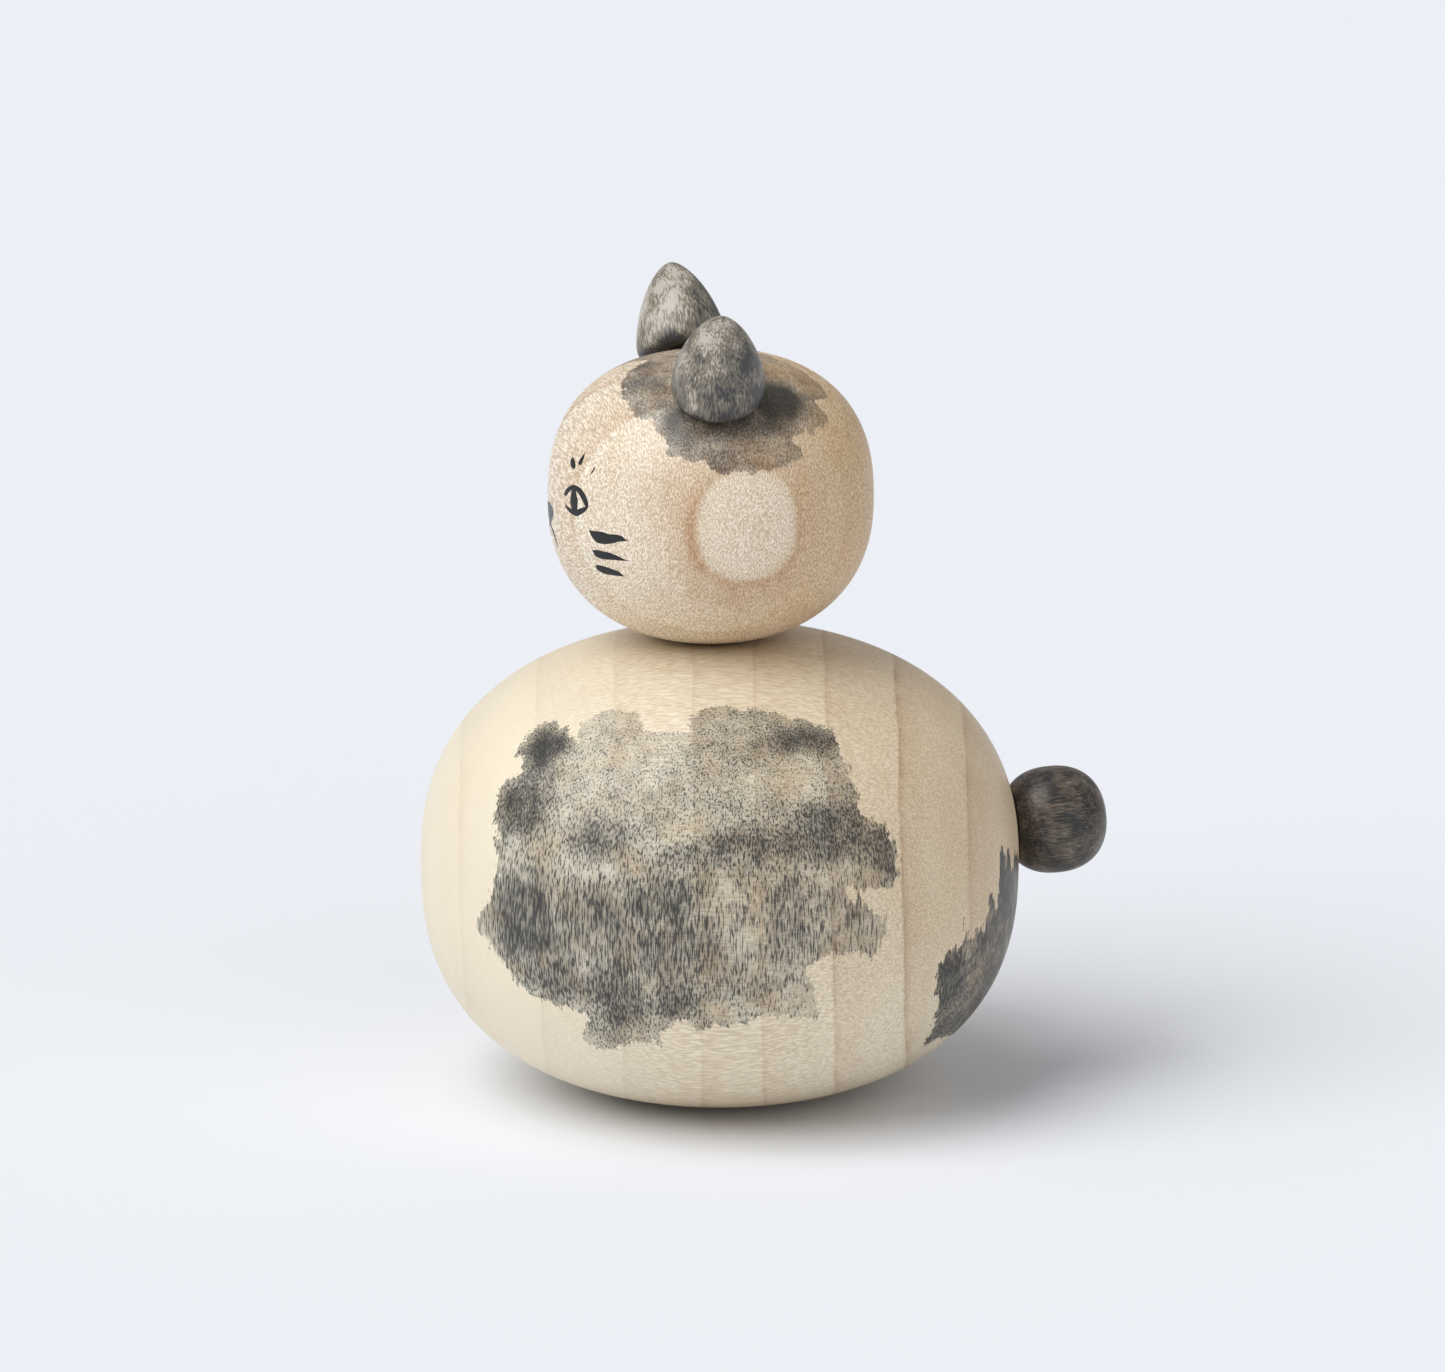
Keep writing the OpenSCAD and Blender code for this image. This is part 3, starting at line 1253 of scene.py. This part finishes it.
@dataclass
class Head:
    """The head: a smaller turned form with a bore for the neck.

    The growth rings show as a pale round eye on the doll's left, with a brown rim, and as curved
    lines over the face. Distances out are along the rings' normal, and across are square to it.
    """

    form: TurnedForm = TurnedForm(
        axis_y=-0.9, widest_z=60.33, radius=16.2, top=14.5, base=14.3, top_shape=2.45,
        base_shape=2.28,
    )
    base_cut: float = 0.22
    bore: float = 3.0
    bore_depth: float = 12.5
    edge_round: float = 0.15
    rows: int = 150
    columns: int = 400
    ring_spacing: float = 4.3
    ring_first: float = 15.6
    ring_lean: float = -0.56
    ring_least: float = 0.12
    eye_out: Point = (12.5, 14.5)
    eye_across: Point = (-1.0, 4.0)
    eye_fade: float = 0.4
    face_across: Point = (-2.0, 5.0)
    face_height: Point = (-6.0, 5.0)
    face_dark: Point = (0.4, 0.4)
    # Tan towards the back: partly heartwood, partly painted shade on the side away from the key
    # light.
    heart_and_shade_y: Point = (-14.0, 16.0)
    heart_tone: Point = (0.03, 0.95)
    eye_rim: Point = (-0.3, 0.2)
    eye_pale: float = 0.75
    fleck_amount: float = 0.8

    def profile(self) -> Array:
        """The head's outline from the top of the bore, down and out, and up to the crown.

        Returns:
            (radius, height, 0) rows.
        """
        low = self.base_cut - self.form.base
        curve = self.form.outline(low, self.form.top, self.rows)
        top = low + self.bore_depth
        bore = rounded_corners(
            np.array(
                [
                    [0.0, top, 0.0],
                    [self.bore, top, 0.0],
                    [self.bore, low, 0.0],
                    [curve[0, 0], low, 0.0],
                ]
            ),
            self.edge_round,
        )
        outer = np.column_stack([curve, np.zeros(len(curve))])
        return np.vstack([bore[:-1], outer])

    def build(self) -> bpy.types.Object:
        """Make the mesh and the attributes that its finish reads.

        Returns:
            The object, in metres, where the CAD node is.
        """
        grid = revolve(self.profile(), self.columns, (self.form.axis_y, self.form.widest_z))
        piece = grid_mesh("doll_head", [grid * MM])
        points = vertices_of(piece) / MM
        azimuth, height = self.form.chart(points)
        out, across = self.grain_frame(points)
        lean = self.ring_lean * across * (1 - out / self.ring_first)
        set_attribute(piece, "ring", (out + lean - self.ring_first) / self.ring_spacing)
        fade = 1 - self.eye_fade * smoothstep(*self.eye_across, across)
        eye = smoothstep(*self.eye_out, out) * fade
        least, more = self.face_dark
        upper = least + more * smoothstep(*self.face_height, height)
        face = (1 - smoothstep(*self.face_across, across)) * upper
        set_attribute(piece, "ringed", np.maximum(np.maximum(eye, face), self.ring_least))
        inner = smoothstep(*self.eye_rim, out + lean - self.ring_first)
        # Tan towards the back: partly the heartwood's own, partly painted shade away from the key
        # light.
        least, more = self.heart_tone
        heart = least + more * smoothstep(*self.heart_and_shade_y, points[:, 1])
        set_attribute(piece, "tone", heart * (1 - self.eye_pale * inner))
        set_attribute(piece, "flecked", np.full(len(points), self.fleck_amount))
        lay_ink(piece, self.form, HEAD_PATCHES, azimuth, height)
        return piece

    def grain_frame(self, points: Array) -> tuple[Array, Array]:
        """Measure places by the growth rings.

        Args:
            points: points x 3, in millimetres.

        Returns:
            Distance along the rings' normal and across it, from the head's axis.
        """
        local = points[:, :2] - np.array([0.0, self.form.axis_y])
        x, y = MAPLE_HEAD.radial[:2]
        return local @ np.array([x, y]), local @ np.array([-y, x])

    def dress(self, piece: bpy.types.Object) -> None:
        """Give the head its finish and let it stand for its CAD node.

        Args:
            piece: the head's object.
        """
        piece.data.materials.append(MAPLE_HEAD.build())
        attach(piece, "head")
        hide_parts("head")


@dataclass
class Face:
    """The face's brush strokes, mirrored about the middle of the head that they lie on."""

    form: TurnedForm

    def build(self) -> list[bpy.types.Object]:
        """Lay every stroke on the head, as one mesh per feature and side.

        Returns:
            The meshes, with their finish, riding on the head.
        """
        black, grey = INK_BLACK.build(), INK_GREY.build()
        made = []
        for side in Side:
            for name, strokes in FACE_MARKS.items():
                made.append(self.feature(f"{name}_{side.name.lower()}", strokes, side, black))
        made.append(self.feature("nose", NOSE_MARKS, Side.LEFT, grey))
        return made

    def feature(
        self, name: str, strokes: list[Stroke], side: Side, finish: bpy.types.Material
    ) -> bpy.types.Object:
        """Join one feature's strokes into one mesh.

        Args:
            name: the feature's name.
            strokes: its strokes.
            side: the side of the face.
            finish: the ink.

        Returns:
            The object, riding on the head.
        """
        piece = grid_mesh(name, [stroke.surface(self.form, side) * MM for stroke in strokes])
        piece.data.materials.append(finish)
        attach(piece, "head")
        return piece


def touch_point(radius: float, half: float, shape: float, tilt: float) -> Point:
    """Where a flat that looks out at an angle touches a superellipse.

    Args:
        radius: the curve's greatest radius.
        half: its half height.
        shape: its exponent.
        tilt: the flat's angle above level, in degrees.

    Returns:
        (distance from the axis, height), by the curve's dual exponent shape / (shape - 1).
    """
    dual = shape / (shape - 1)
    out, up = radius * math.cos(math.radians(tilt)), half * math.sin(math.radians(tilt))
    distance = (out**dual + up**dual) ** (1 / dual)
    return radius * (out / distance) ** (dual - 1), half * (up / distance) ** (dual - 1)


@dataclass
class Ear:
    """One pegged ear: a pointed dome on a rounded lower edge, standing just clear of the head.

    Places on the ear are in millimetres from its base. The worn fields say where the dye shows
    wood. The highlight fields make a paler round place on the right ear, a painted highlight, and
    the pool fields darken the lower edge, painted shade where the ear stands over the head; apart
    moves the pattern, so that the two ears differ.
    """

    side: Side
    head: TurnedForm
    radius: float = 4.6
    length: float = 10.0
    edge_height: float = 1.2
    edge_width: float = 0.8
    shape: float = 1.58
    splay: float = 32.0
    turn: float = 5.5
    gap: float = 0.3
    edge_rows: int = 14
    dome_rows: int = 90
    columns: int = 160
    worn_front: Point = (-3.5, 5.0)
    worn_slope: float = 0.7
    worn_share: Point = (0.1, 0.6)
    # A paler round place on the right ear: painted highlight.
    painted_highlight_share: float = 0.6
    painted_highlight_place: Point = (1.0, 3.5)
    painted_highlight_spread: Point = (12.0, 9.0)
    # Darker towards the base: painted shade where the ear stands over the head.
    base_shade_height: Point = (0.2, 0.8)
    pool_share: float = 0.35
    apart: float = 20.0

    def profile(self) -> Array:
        """The ear's outline from the middle of its base to its tip.

        Returns:
            (radius, height, 0) rows: a flat, a quarter ellipse, then a superellipse dome.
        """
        low = np.linspace(0, math.pi / 2, self.edge_rows)[:-1]
        edge = np.stack(
            [
                self.radius - self.edge_width * (1 - np.sin(low)),
                self.edge_height * (1 - np.cos(low)),
            ],
            axis=-1,
        )
        dome = TurnedForm(0, 0, self.radius, self.length - self.edge_height, 1, self.shape, 2)
        curve = dome.outline(0, dome.top, self.dome_rows) + [0, self.edge_height]
        flat = [[0, 0], [edge[0, 0] * 0.5, 0]]
        outline = np.vstack([flat, edge, curve])
        return np.column_stack([outline, np.zeros(len(outline))])

    def seat(self) -> Matrix:
        """Where the ear stands.

        Returns:
            The move from the ear's own frame, base at the origin and tip along +Z, to the head, in
            millimetres.
        """
        out, up = touch_point(
            self.head.radius, self.head.top, self.head.top_shape, 90 - self.splay
        )
        angle = -self.turn if self.side is Side.LEFT else 180 + self.turn
        return (
            Matrix.Translation((0, self.head.axis_y, self.head.widest_z))
            @ Matrix.Rotation(math.radians(angle), 4, "Z")
            @ Matrix.Translation((out, 0, up))
            @ Matrix.Rotation(math.radians(self.splay), 4, "Y")
            @ Matrix.Translation((0, 0, self.gap))
        )

    def build(self) -> bpy.types.Object:
        """Make the mesh in the ear's own frame, note its attributes, and move it to its seat.

        Returns:
            The object. Its dye is worn at the front and towards the tip. It is darker at the
            base, painted shade under the ear, and the right ear is paler in a round place, a
            painted highlight: share * exp(-distance^2 / spread).
        """
        grid = revolve(self.profile(), self.columns, (0.0, 0.0))
        piece = grid_mesh(f"doll_ear_{self.side.name.lower()}", [grid])
        own = vertices_of(piece)
        y, z = own[:, 1], own[:, 2]
        front = -self.side.value * y + self.worn_slope * (z - self.length * 0.4)
        least, more = self.worn_share
        worn = least + more * smoothstep(*self.worn_front, front)
        # The right ear's paler round place is a painted highlight.
        if self.side is Side.RIGHT:
            (highlight_y, highlight_z), (wide, tall) = self.painted_highlight_place, self.painted_highlight_spread
            worn += self.painted_highlight_share * np.exp(-((y - highlight_y) ** 2) / wide - (z - highlight_z) ** 2 / tall)
        # Darker towards the base: painted shade under the ear's lower edge.
        pooled = self.pool_share * (1 - smoothstep(*self.base_shade_height, z))
        set_attribute(piece, "own", own + [self.apart * self.side.value, 0, 0])
        # The bare share: wear, less the painted shade at the base, plus on the right ear a painted
        # highlight.
        set_attribute(piece, "bare", worn - pooled)
        piece.data.transform(Matrix.Scale(MM, 4) @ self.seat())
        return piece

    def dress(self, piece: bpy.types.Object, finish: bpy.types.Material) -> None:
        """Give the ear its finish and let it stand for its CAD node.

        Args:
            piece: the ear's object.
            finish: the dyed wood that both ears share.
        """
        piece.data.materials.append(finish)
        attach(piece, "head")
        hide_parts(f"ear_{self.side.name.lower()}")


@dataclass
class Tail:
    """The tail: a slightly squarish ball with one flat, pegged square to the body.

    Worn is how far its dye shows wood, and apart moves the dye's pattern away from the ears'.
    """

    body: TurnedForm
    ball: TurnedForm = TurnedForm(
        axis_y=0.0, widest_z=0.0, radius=5.4, top=5.3, base=5.3, top_shape=2.33, base_shape=2.33
    )
    flat: float = 1.1
    lift: float = 3.7
    rows: int = 100
    columns: int = 160
    worn: float = 0.3
    apart: float = 40.0

    def profile(self) -> Array:
        """The ball's outline from the middle of its flat to its end.

        Returns:
            (radius, height, 0) rows.
        """
        reach = self.ball.base - self.flat
        curve = self.ball.outline(-reach, self.ball.top, self.rows) + [0, reach]
        middle = [[0, 0], [curve[0, 0] * 0.5, 0]]
        outline = np.vstack([middle, curve])
        return np.column_stack([outline, np.zeros(len(outline))])

    def build(self) -> bpy.types.Object:
        """Make the mesh in the tail's own frame, note its attributes, and move it to its seat.

        Returns:
            The object, in metres, where the CAD node is.
        """
        grid = revolve(self.profile(), self.columns, (0.0, 0.0))
        piece = grid_mesh("doll_tail", [grid])
        own = vertices_of(piece)
        set_attribute(piece, "own", own + [0, self.apart, 0])
        set_attribute(piece, "bare", np.full(len(own), self.worn))
        out, up = touch_point(self.body.radius, self.body.top, self.body.top_shape, self.lift)
        seat = Matrix.Translation((0, out, self.body.widest_z + up)) @ Matrix.Rotation(
            math.radians(self.lift - 90), 4, "X"
        )
        piece.data.transform(Matrix.Scale(MM, 4) @ seat)
        return piece

    def dress(self, piece: bpy.types.Object) -> None:
        """Give the tail its finish and let it stand for its CAD node.

        Args:
            piece: the tail's object.
        """
        piece.data.materials.append(MAPLE_TAIL.build())
        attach(piece, "body")
        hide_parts("tail_ball")


@dataclass
class Pegs:
    """The hidden pegs, which keep their CAD shape."""

    nodes: tuple[str, ...] = ("neck_peg", "ear_peg_left", "ear_peg_right", "tail_peg")

    def dress(self) -> None:
        """Give each peg the dowel's finish."""
        finish = PEG_BEECH.build()
        for name in self.nodes:
            mesh = frame["nodes"][name].data
            for slot in range(max(1, len(mesh.materials))):
                if slot < len(mesh.materials):
                    mesh.materials[slot] = finish
                else:
                    mesh.materials.append(finish)


# --------------------------------------------------------------------------------------------------
# The brushwork. Angles are degrees from +X towards +Y, so -90 is the middle of the face and 90 the
# tail; heights are millimetres above the widest turn of the form.

FLANK_PATCH = Patch(
    edge=[
        (-62, -2), (-58, 1), (-56, 5), (-60, 9), (-60, 12), (-57, 13.5), (-62, 15), (-61, 17),
        (-55, 17.5), (-46, 16.5), (-48, 18), (-43, 19), (-33, 19), (-29, 18), (-18, 18), (-18, 19),
        (-13, 19.8), (-2, 19.8), (15, 18.5), (21, 17.3), (20, 15.5), (21, 13), (20, 11),
        (24.5, 9.5), (27, 6.5), (26, 4.5), (24, 3.3), (14, 4), (22, 0.7), (21, -3.2), (14, -2.5),
        (6, -3.5),
        (8, -5), (10, -8.5), (7, -9), (-1, -8.5), (-8, -9.6), (-18, -9.4), (-22, -11), (-19, -11.7),
        (-29, -12), (-34, -13), (-38, -12), (-36, -9.5), (-38, -8.7), (-44, -8.5), (-49, -8),
        (-53, -6), (-57.5, -4),
    ],
    chart=Chart.GIRTH,
    wash=0.42,
    dabs=[
        # The first two dabs are lighter where the wax's sheen lies: thinner ink, and partly a painted
        # highlight.
        Dab(-33, 17, 9.0, 4.0, 0.32),
        Dab(-27, 16.5, 3.8, 3.0, 0.28),
        Dab(-36, 18.4, 3.3, 1.2, 0.26),
        Dab(-1.5, 18.4, 4.2, 1.8, 0.47),
        Dab(-8.5, 16.2, 4.2, 2.6, 0.46),
        Dab(6.5, 14.4, 4.2, 2.1, 0.23),
        Dab(12, 17.3, 3.6, 1.6, 0.8),
        Dab(-16.5, 9.1, 3.0, 2.2, 0.3),
        Dab(-15, 7.2, 3.0, 1.6, 0.6),
        Dab(-3.5, 8.4, 4.4, 2.0, 0.72),
        Dab(13, 9.1, 4.2, 2.8, 0.78),
        Dab(24, 6.5, 1.6, 2.6, 0.76),
        Dab(13, 5.2, 2.6, 1.1, 0.28),
        Dab(-54, 15.4, 2.6, 2.8, 0.93),
        Dab(-53, 10.4, 3.5, 3.3, 0.82),
        Dab(-35, 5.6, 2.6, 1.3, 0.3),
        Dab(-32.5, 8.7, 3.0, 2.0, 0.7),
        Dab(-48, -0.5, 4.4, 4.6, 0.84),
        Dab(-33, 1.2, 3.6, 3.6, 0.66),
        Dab(-7, 2.9, 3.0, 1.3, 0.28),
        Dab(-20, 3.2, 3.4, 2.4, 0.76),
        Dab(4, 3.9, 3.0, 1.3, 0.6),
        Dab(1.5, 0.3, 2.8, 2.6, 0.66),
        Dab(-4.5, 0.4, 2.3, 2.3, 0.34),
        Dab(18, 0.8, 1.3, 2.2, 0.53),
        Dab(-19.5, -1.8, 5.0, 2.8, 0.68),
        Dab(-29.5, -7.3, 3.0, 3.4, 0.76),
        Dab(-42.5, -5.5, 3.0, 2.6, 0.7),
        Dab(-16.5, -6.9, 2.6, 1.8, 0.78),
        Dab(-4, -5.5, 4.2, 1.1, 0.58),
        Dab(6, -7.1, 3.2, 2.2, 0.2),
        Dab(-8.5, -8.1, 3.0, 1.0, 0.22),
        Dab(17, -1.5, 2.6, 2.0, 0.34),
    ],
)
RUMP_PATCH = Patch(
    edge=[
        (60, 4.5), (62, 1.5), (64.5, 3.5), (66.5, 1), (72, 2), (79, -0.5), (88, -3), (97, -1.5),
        (104, -3.5), (112, -6), (116, -10), (108, -14), (96, -16), (80, -17), (62, -16), (52, -15),
        (43, -14.8), (41, -12), (39, -9.3), (37, -6.7), (39.5, -4), (43, -5), (44, -1.5),
        (46, -4.2), (50, -3), (52, -3.5), (54, 0.3), (57, -2),
    ],
    chart=Chart.GIRTH,
    wash=0.78,
    dabs=[
        Dab(47, -4.5, 1.6, 2.4, 0.6),
        Dab(52, -9, 2.5, 2.5, 0.65),
        Dab(42, -7.2, 1.7, 2.4, 0.9),
        Dab(62, -1, 2.4, 3.6, 0.92),
        Dab(84, -9, 7.0, 3.5, 0.55),
        Dab(104, -10, 4.0, 3.5, 0.85),
    ],
)
FAR_PATCH = Patch(
    edge=[
        (163, 8), (160, 12), (165, 16), (172, 17.5), (176, 16.5), (183, 18.5), (193, 18),
        (203, 18.8), (210, 16.5), (213, 12), (219, 9.5), (217, 5), (220, 1), (214, -2.5),
        (207, -3.5), (203, -8),
        (194, -9), (188, -6.5), (181, -9.5), (173, -7), (170, -2.5), (165, -1), (166, 3.5),
    ],
    chart=Chart.GIRTH,
    wash=0.42,
    dabs=[
        Dab(170, 12, 4.0, 4.0, 0.85),
        Dab(186, 15, 5.0, 2.5, 0.35),
        Dab(203, 16, 4.0, 2.2, 0.8),
        Dab(195, 9, 6.0, 2.2, 0.65),
        Dab(212, 5, 3.5, 4.5, 0.85),
        Dab(192, 1.5, 5.0, 2.2, 0.32),
        Dab(176, 1, 3.5, 3.0, 0.6),
        Dab(201, -4, 4.0, 2.6, 0.75),
        Dab(180, -5, 4.5, 2.6, 0.82),
    ],
)
BODY_PATCHES = [FLANK_PATCH, RUMP_PATCH, FAR_PATCH]

CAP_PATCH = Patch(
    edge=[
        (-67, 12.3), (-45, 10.4), (-37, 10.2), (-28, 8.6), (-23, 6.9), (-13, 6.7), (-9, 5.7),
        (4, 5.6), (20, 6), (27, 7), (26, 8.5), (35, 8.6), (43, 8.8), (49, 9.7), (49, 10.9),
        (60, 10.9), (67, 11.9), (70, 12.8), (90, 13.9), (114, 14), (124, 11.5), (138, 10),
        (147, 8.2), (160, 8.4), (168, 6.4), (180, 6), (194, 6.3), (201, 8), (212, 8.4), (220, 10.4),
        (237, 11), (250, 13), (262, 13.9), (277, 13.4), (284, 12.9),
    ],
    chart=Chart.CROWN,
    wash=0.46,
    dabs=[
        Dab(67.9, 13.2, 4.0, 2.4, 0.32),
        Dab(44, 10.5, 2.0, 2.6, 0.42),
        Dab(8, 7.5, 5.2, 1.6, 0.39),
        Dab(-14.7, 7.2, 2.2, 1.2, 0.52),
        Dab(-4, 6.6, 1.6, 1.2, 0.67),
        Dab(-59, 11.9, 1.2, 1.6, 0.52),
        Dab(-53, 12.8, 2.8, 1.4, 0.8),
        Dab(-40, 11.4, 1.8, 1.8, 0.6),
        Dab(-21, 10.1, 2.0, 2.4, 0.87),
        # This dab and the next, below and beside the left ear, are ink and partly painted shadow cast
        # by the ear.
        Dab(1.6, 9.8, 5.2, 1.4, 0.82),
        Dab(25, 11.6, 3.0, 2.3, 1.15),
        Dab(-83, 13.7, 2.2, 1.2, 0.77),
        Dab(165, 11, 6.0, 2.0, 0.82),
    ],
)
HEAD_PATCHES = [CAP_PATCH]

# Angles of the face's marks are from the middle of the face towards the doll's left or right.
FACE_MARKS = {
    "eye": [
        Stroke(
            [(17.3, 1.65), (18.5, 2.2), (20.7, 2.65), (23.1, 2.95), (25.8, 3.0), (28.4, 2.85),
             (30.9, 2.45), (32.3, 1.95), (33, 1.5), (32.9, 1.1)],
            [(19.3, 1.6), (20.4, 1.95), (22.2, 2.35), (23.4, 2.45), (25.4, 2.5), (26.4, 2.4),
             (27.8, 2.2), (29.3, 1.8), (30.7, 1.4), (31.6, 1.1)],
        ),
        Stroke(
            [(18.8, 0.85), (21.9, 0.62), (23.8, 0.58), (26.7, 0.7), (28.9, 0.9), (31.4, 1.18),
             (32.6, 1.3)],
            [(18.4, 0.75), (19.9, 0.4), (22.6, 0.1), (25.3, 0), (27.3, 0.05), (29.4, 0.35),
             (31.7, 0.75), (32.9, 1.1)],
        ),
        Stroke(
            [(23.1, 2.6), (22.4, 1.75), (22.2, 1.15), (22.9, 0.8), (23.5, 0.4)],
            [(25.6, 2.6), (26.2, 2.1), (27, 1.65), (27.1, 1.2), (26.7, 0.4)],
        ),
    ],
    "brow": [
        Stroke(
            [(20, 5.6), (21.8, 5.35), (23.0, 5.05), (23.5, 4.75), (22.6, 4.47)],
            [(20, 5.6), (19.2, 5.1), (20.1, 4.72), (21.3, 4.54), (22.6, 4.47)],
        ),
        Stroke(
            [(27.3, 6.3), (27.5, 5.8), (27.2, 5.45), (26.9, 5.15), (25.8, 5.0)],
            [(27.3, 6.3), (25.9, 5.85), (25.1, 5.45), (24.8, 5.15), (25.8, 5.0)],
        ),
        Stroke(
            [(34.6, 5.35), (34.4, 4.98), (33.6, 4.58), (32.8, 4.35)],
            [(34.6, 5.35), (33.7, 4.97), (33, 4.59), (32.8, 4.35)],
        ),
    ],
    "whisker": [
        Stroke(
            [(33.3, -1.07), (36.2, -1.05), (40.2, -1), (42.7, -1.1), (46.3, -1.03), (48.6, -1.15),
             (49.7, -1.38), (51.1, -1.42)],
            [(33.3, -1.07), (34, -1.5), (35.3, -1.9), (37.2, -2.2), (40.7, -2.2), (44.5, -1.97),
             (47, -1.72), (49.7, -1.58), (51.1, -1.45)],
        ),
        Stroke(
            [(34, -3.1), (36.9, -2.95), (39.6, -2.97), (42.5, -3), (45.3, -3.15), (47.6, -3.35),
             (49.1, -3.5), (51, -3.54)],
            [(34, -3.1), (34.6, -3.3), (35.5, -3.65), (38.1, -3.8), (41.7, -3.76), (45.1, -3.68),
             (47.5, -3.66), (51, -3.56)],
        ),
        Stroke(
            [(34.4, -4.65), (37, -4.53), (40.2, -4.6), (43.1, -4.72), (45.5, -4.86), (46.7, -5.1),
             (47.6, -5.3)],
            [(34.4, -4.65), (34.7, -5), (36.3, -5.25), (39.3, -5.4), (42.5, -5.37), (45.1, -5.35),
             (47.6, -5.32)],
        ),
    ],
    "mouth": [
        Stroke(
            [(0.2, -2.0), (4.9, -2.55), (7.0, -3.2), (7.8, -4.1)],
            [(0.2, -2.35), (3.5, -2.85), (5.5, -3.5), (7.2, -4.3)],
        )
    ],
}
NOSE_MARKS = [
    Stroke(
        [(0, 0.05), (3, -0.05), (6.6, -0.3), (7.4, -0.78), (5.3, -1.4), (2, -2.05), (0, -2.25)],
        [(0, 0.05), (-3, -0.05), (-6.4, -0.35), (-7.2, -0.8), (-5.2, -1.45), (-2, -2.05),
         (0, -2.25)],
    )
]


# --------------------------------------------------------------------------------------------------
# The studio. Azimuths are a viewer's: 0 looks at the face from -Y, and 90 at the doll's left side.


def towards(azimuth: float, elevation: float) -> Vector:
    """Point from the doll towards a viewer or a light.

    Args:
        azimuth: degrees round the doll.
        elevation: degrees above level.

    Returns:
        The unit vector (sin a cos e, -cos a cos e, sin e).
    """
    a, e = math.radians(azimuth), math.radians(elevation)
    return Vector((math.sin(a) * math.cos(e), -math.cos(a) * math.cos(e), math.sin(e)))


@dataclass(frozen=True)
class SoftLight:
    """A wide, distant soft light, given by where it stands and how many degrees wide it looks."""

    name: str
    azimuth: float
    elevation: float
    width: float
    power: float
    colour: str = "ffffff"

    def build(self) -> None:
        """Hang the light."""
        out = towards(self.azimuth, self.elevation)
        data = bpy.data.lights.new(self.name, "SUN")
        data.angle = math.radians(self.width)
        data.energy = self.power
        data.color = linear(self.colour)[:3]
        light = bpy.data.objects.new(self.name, data)
        light.location = out
        light.rotation_euler = out.to_track_quat("Z", "Y").to_euler()
        bpy.context.scene.collection.objects.link(light)


@dataclass(frozen=True)
class Studio:
    """A pale floor, soft light and the camera, in metres; lens and sensor are in millimetres."""

    azimuth: float = 80.8
    elevation: float = 13.0
    distance: float = 0.8
    lens: float = 199.5
    look_height: float = 0.041
    look_right: float = 0.000275
    sensor: float = 36.0
    clip: Point = (0.01, 20.0)
    floor_size: float = 8.0
    paper: str = "edf0f6"
    paper_roughness: float = 0.9
    paper_specular: float = 0.1
    glow: str = "ffffff"
    glow_strength: float = 0.38

    def build(self) -> None:
        """Make the floor, the lights, the world and the camera."""
        self.make_floor()
        self.make_world()
        for light in LIGHTS:
            light.build()
        self.make_camera()

    def make_floor(self) -> None:
        """A large level sheet of pale matt paper."""
        half = self.floor_size / 2
        corners = [(-half, -half, 0), (half, -half, 0), (half, half, 0), (-half, half, 0)]
        mesh = bpy.data.meshes.new("floor")
        mesh.from_pydata(corners, [], [(0, 1, 2, 3)])
        floor = bpy.data.objects.new("floor", mesh)
        bpy.context.scene.collection.objects.link(floor)
        material = bpy.data.materials.new("matt_paper")
        material.use_nodes = True
        tree = material.node_tree
        tree.nodes.clear()
        shader = add(
            tree,
            "BsdfPrincipled",
            {
                "Base Color": linear(self.paper),
                "Roughness": self.paper_roughness,
                "Specular IOR Level": self.paper_specular,
            },
        )
        add(tree, "OutputMaterial", {"Surface": shader.outputs["BSDF"]})
        mesh.materials.append(material)

    def make_world(self) -> None:
        """Even pale light from all round."""
        world = bpy.data.worlds.new("studio")
        bpy.context.scene.world = world
        world.use_nodes = True
        tree = world.node_tree
        tree.nodes.clear()
        glow = add(
            tree, "Background", {"Color": linear(self.glow), "Strength": self.glow_strength}
        )
        add(tree, "OutputWorld", {"Surface": glow.outputs["Background"]})

    def make_camera(self) -> None:
        """A long lens, level across, looking a little down at the doll's left side."""
        back = towards(self.azimuth, self.elevation)
        right = towards(self.azimuth + 90, 0)
        data = bpy.data.cameras.new("camera")
        data.lens = self.lens
        data.sensor_width = self.sensor
        data.clip_start, data.clip_end = self.clip
        camera = bpy.data.objects.new("camera", data)
        target = Vector((0, 0, self.look_height)) + right * self.look_right
        camera.location = target + back * self.distance
        camera.rotation_euler = back.to_track_quat("Z", "Y").to_euler()
        scene = bpy.context.scene
        scene.collection.objects.link(camera)
        scene.camera = camera
        scene.view_settings.view_transform = "Standard"


LIGHTS = [
    SoftLight("key", azimuth=25, elevation=46, width=50, power=1.85),
    SoftLight("overhead", azimuth=0, elevation=74, width=30, power=0.5),
    SoftLight("fill", azimuth=118, elevation=20, width=60, power=0.44),
]


def main() -> None:
    """Build the doll and its studio."""
    logging.basicConfig(level=logging.INFO, format="%(message)s")
    body = Body()
    piece = body.build()
    body.dress(piece)
    LOG.info("body: %d vertices", len(piece.data.vertices))
    head = Head()
    piece = head.build()
    head.dress(piece)
    LOG.info("head: %d vertices", len(piece.data.vertices))
    for made in Face(head.form).build():
        LOG.info("%s: %d vertices", made.name, len(made.data.vertices))
    dyed = MAPLE_EARS.build()
    for side in Side:
        ear = Ear(side, head.form)
        piece = ear.build()
        ear.dress(piece, dyed)
        LOG.info("%s: %d vertices", piece.name, len(piece.data.vertices))
    tail = Tail(body.form)
    piece = tail.build()
    tail.dress(piece)
    LOG.info("tail: %d vertices", len(piece.data.vertices))
    Pegs().dress()
    Studio().build()


if __name__ == "__main__":
    main()
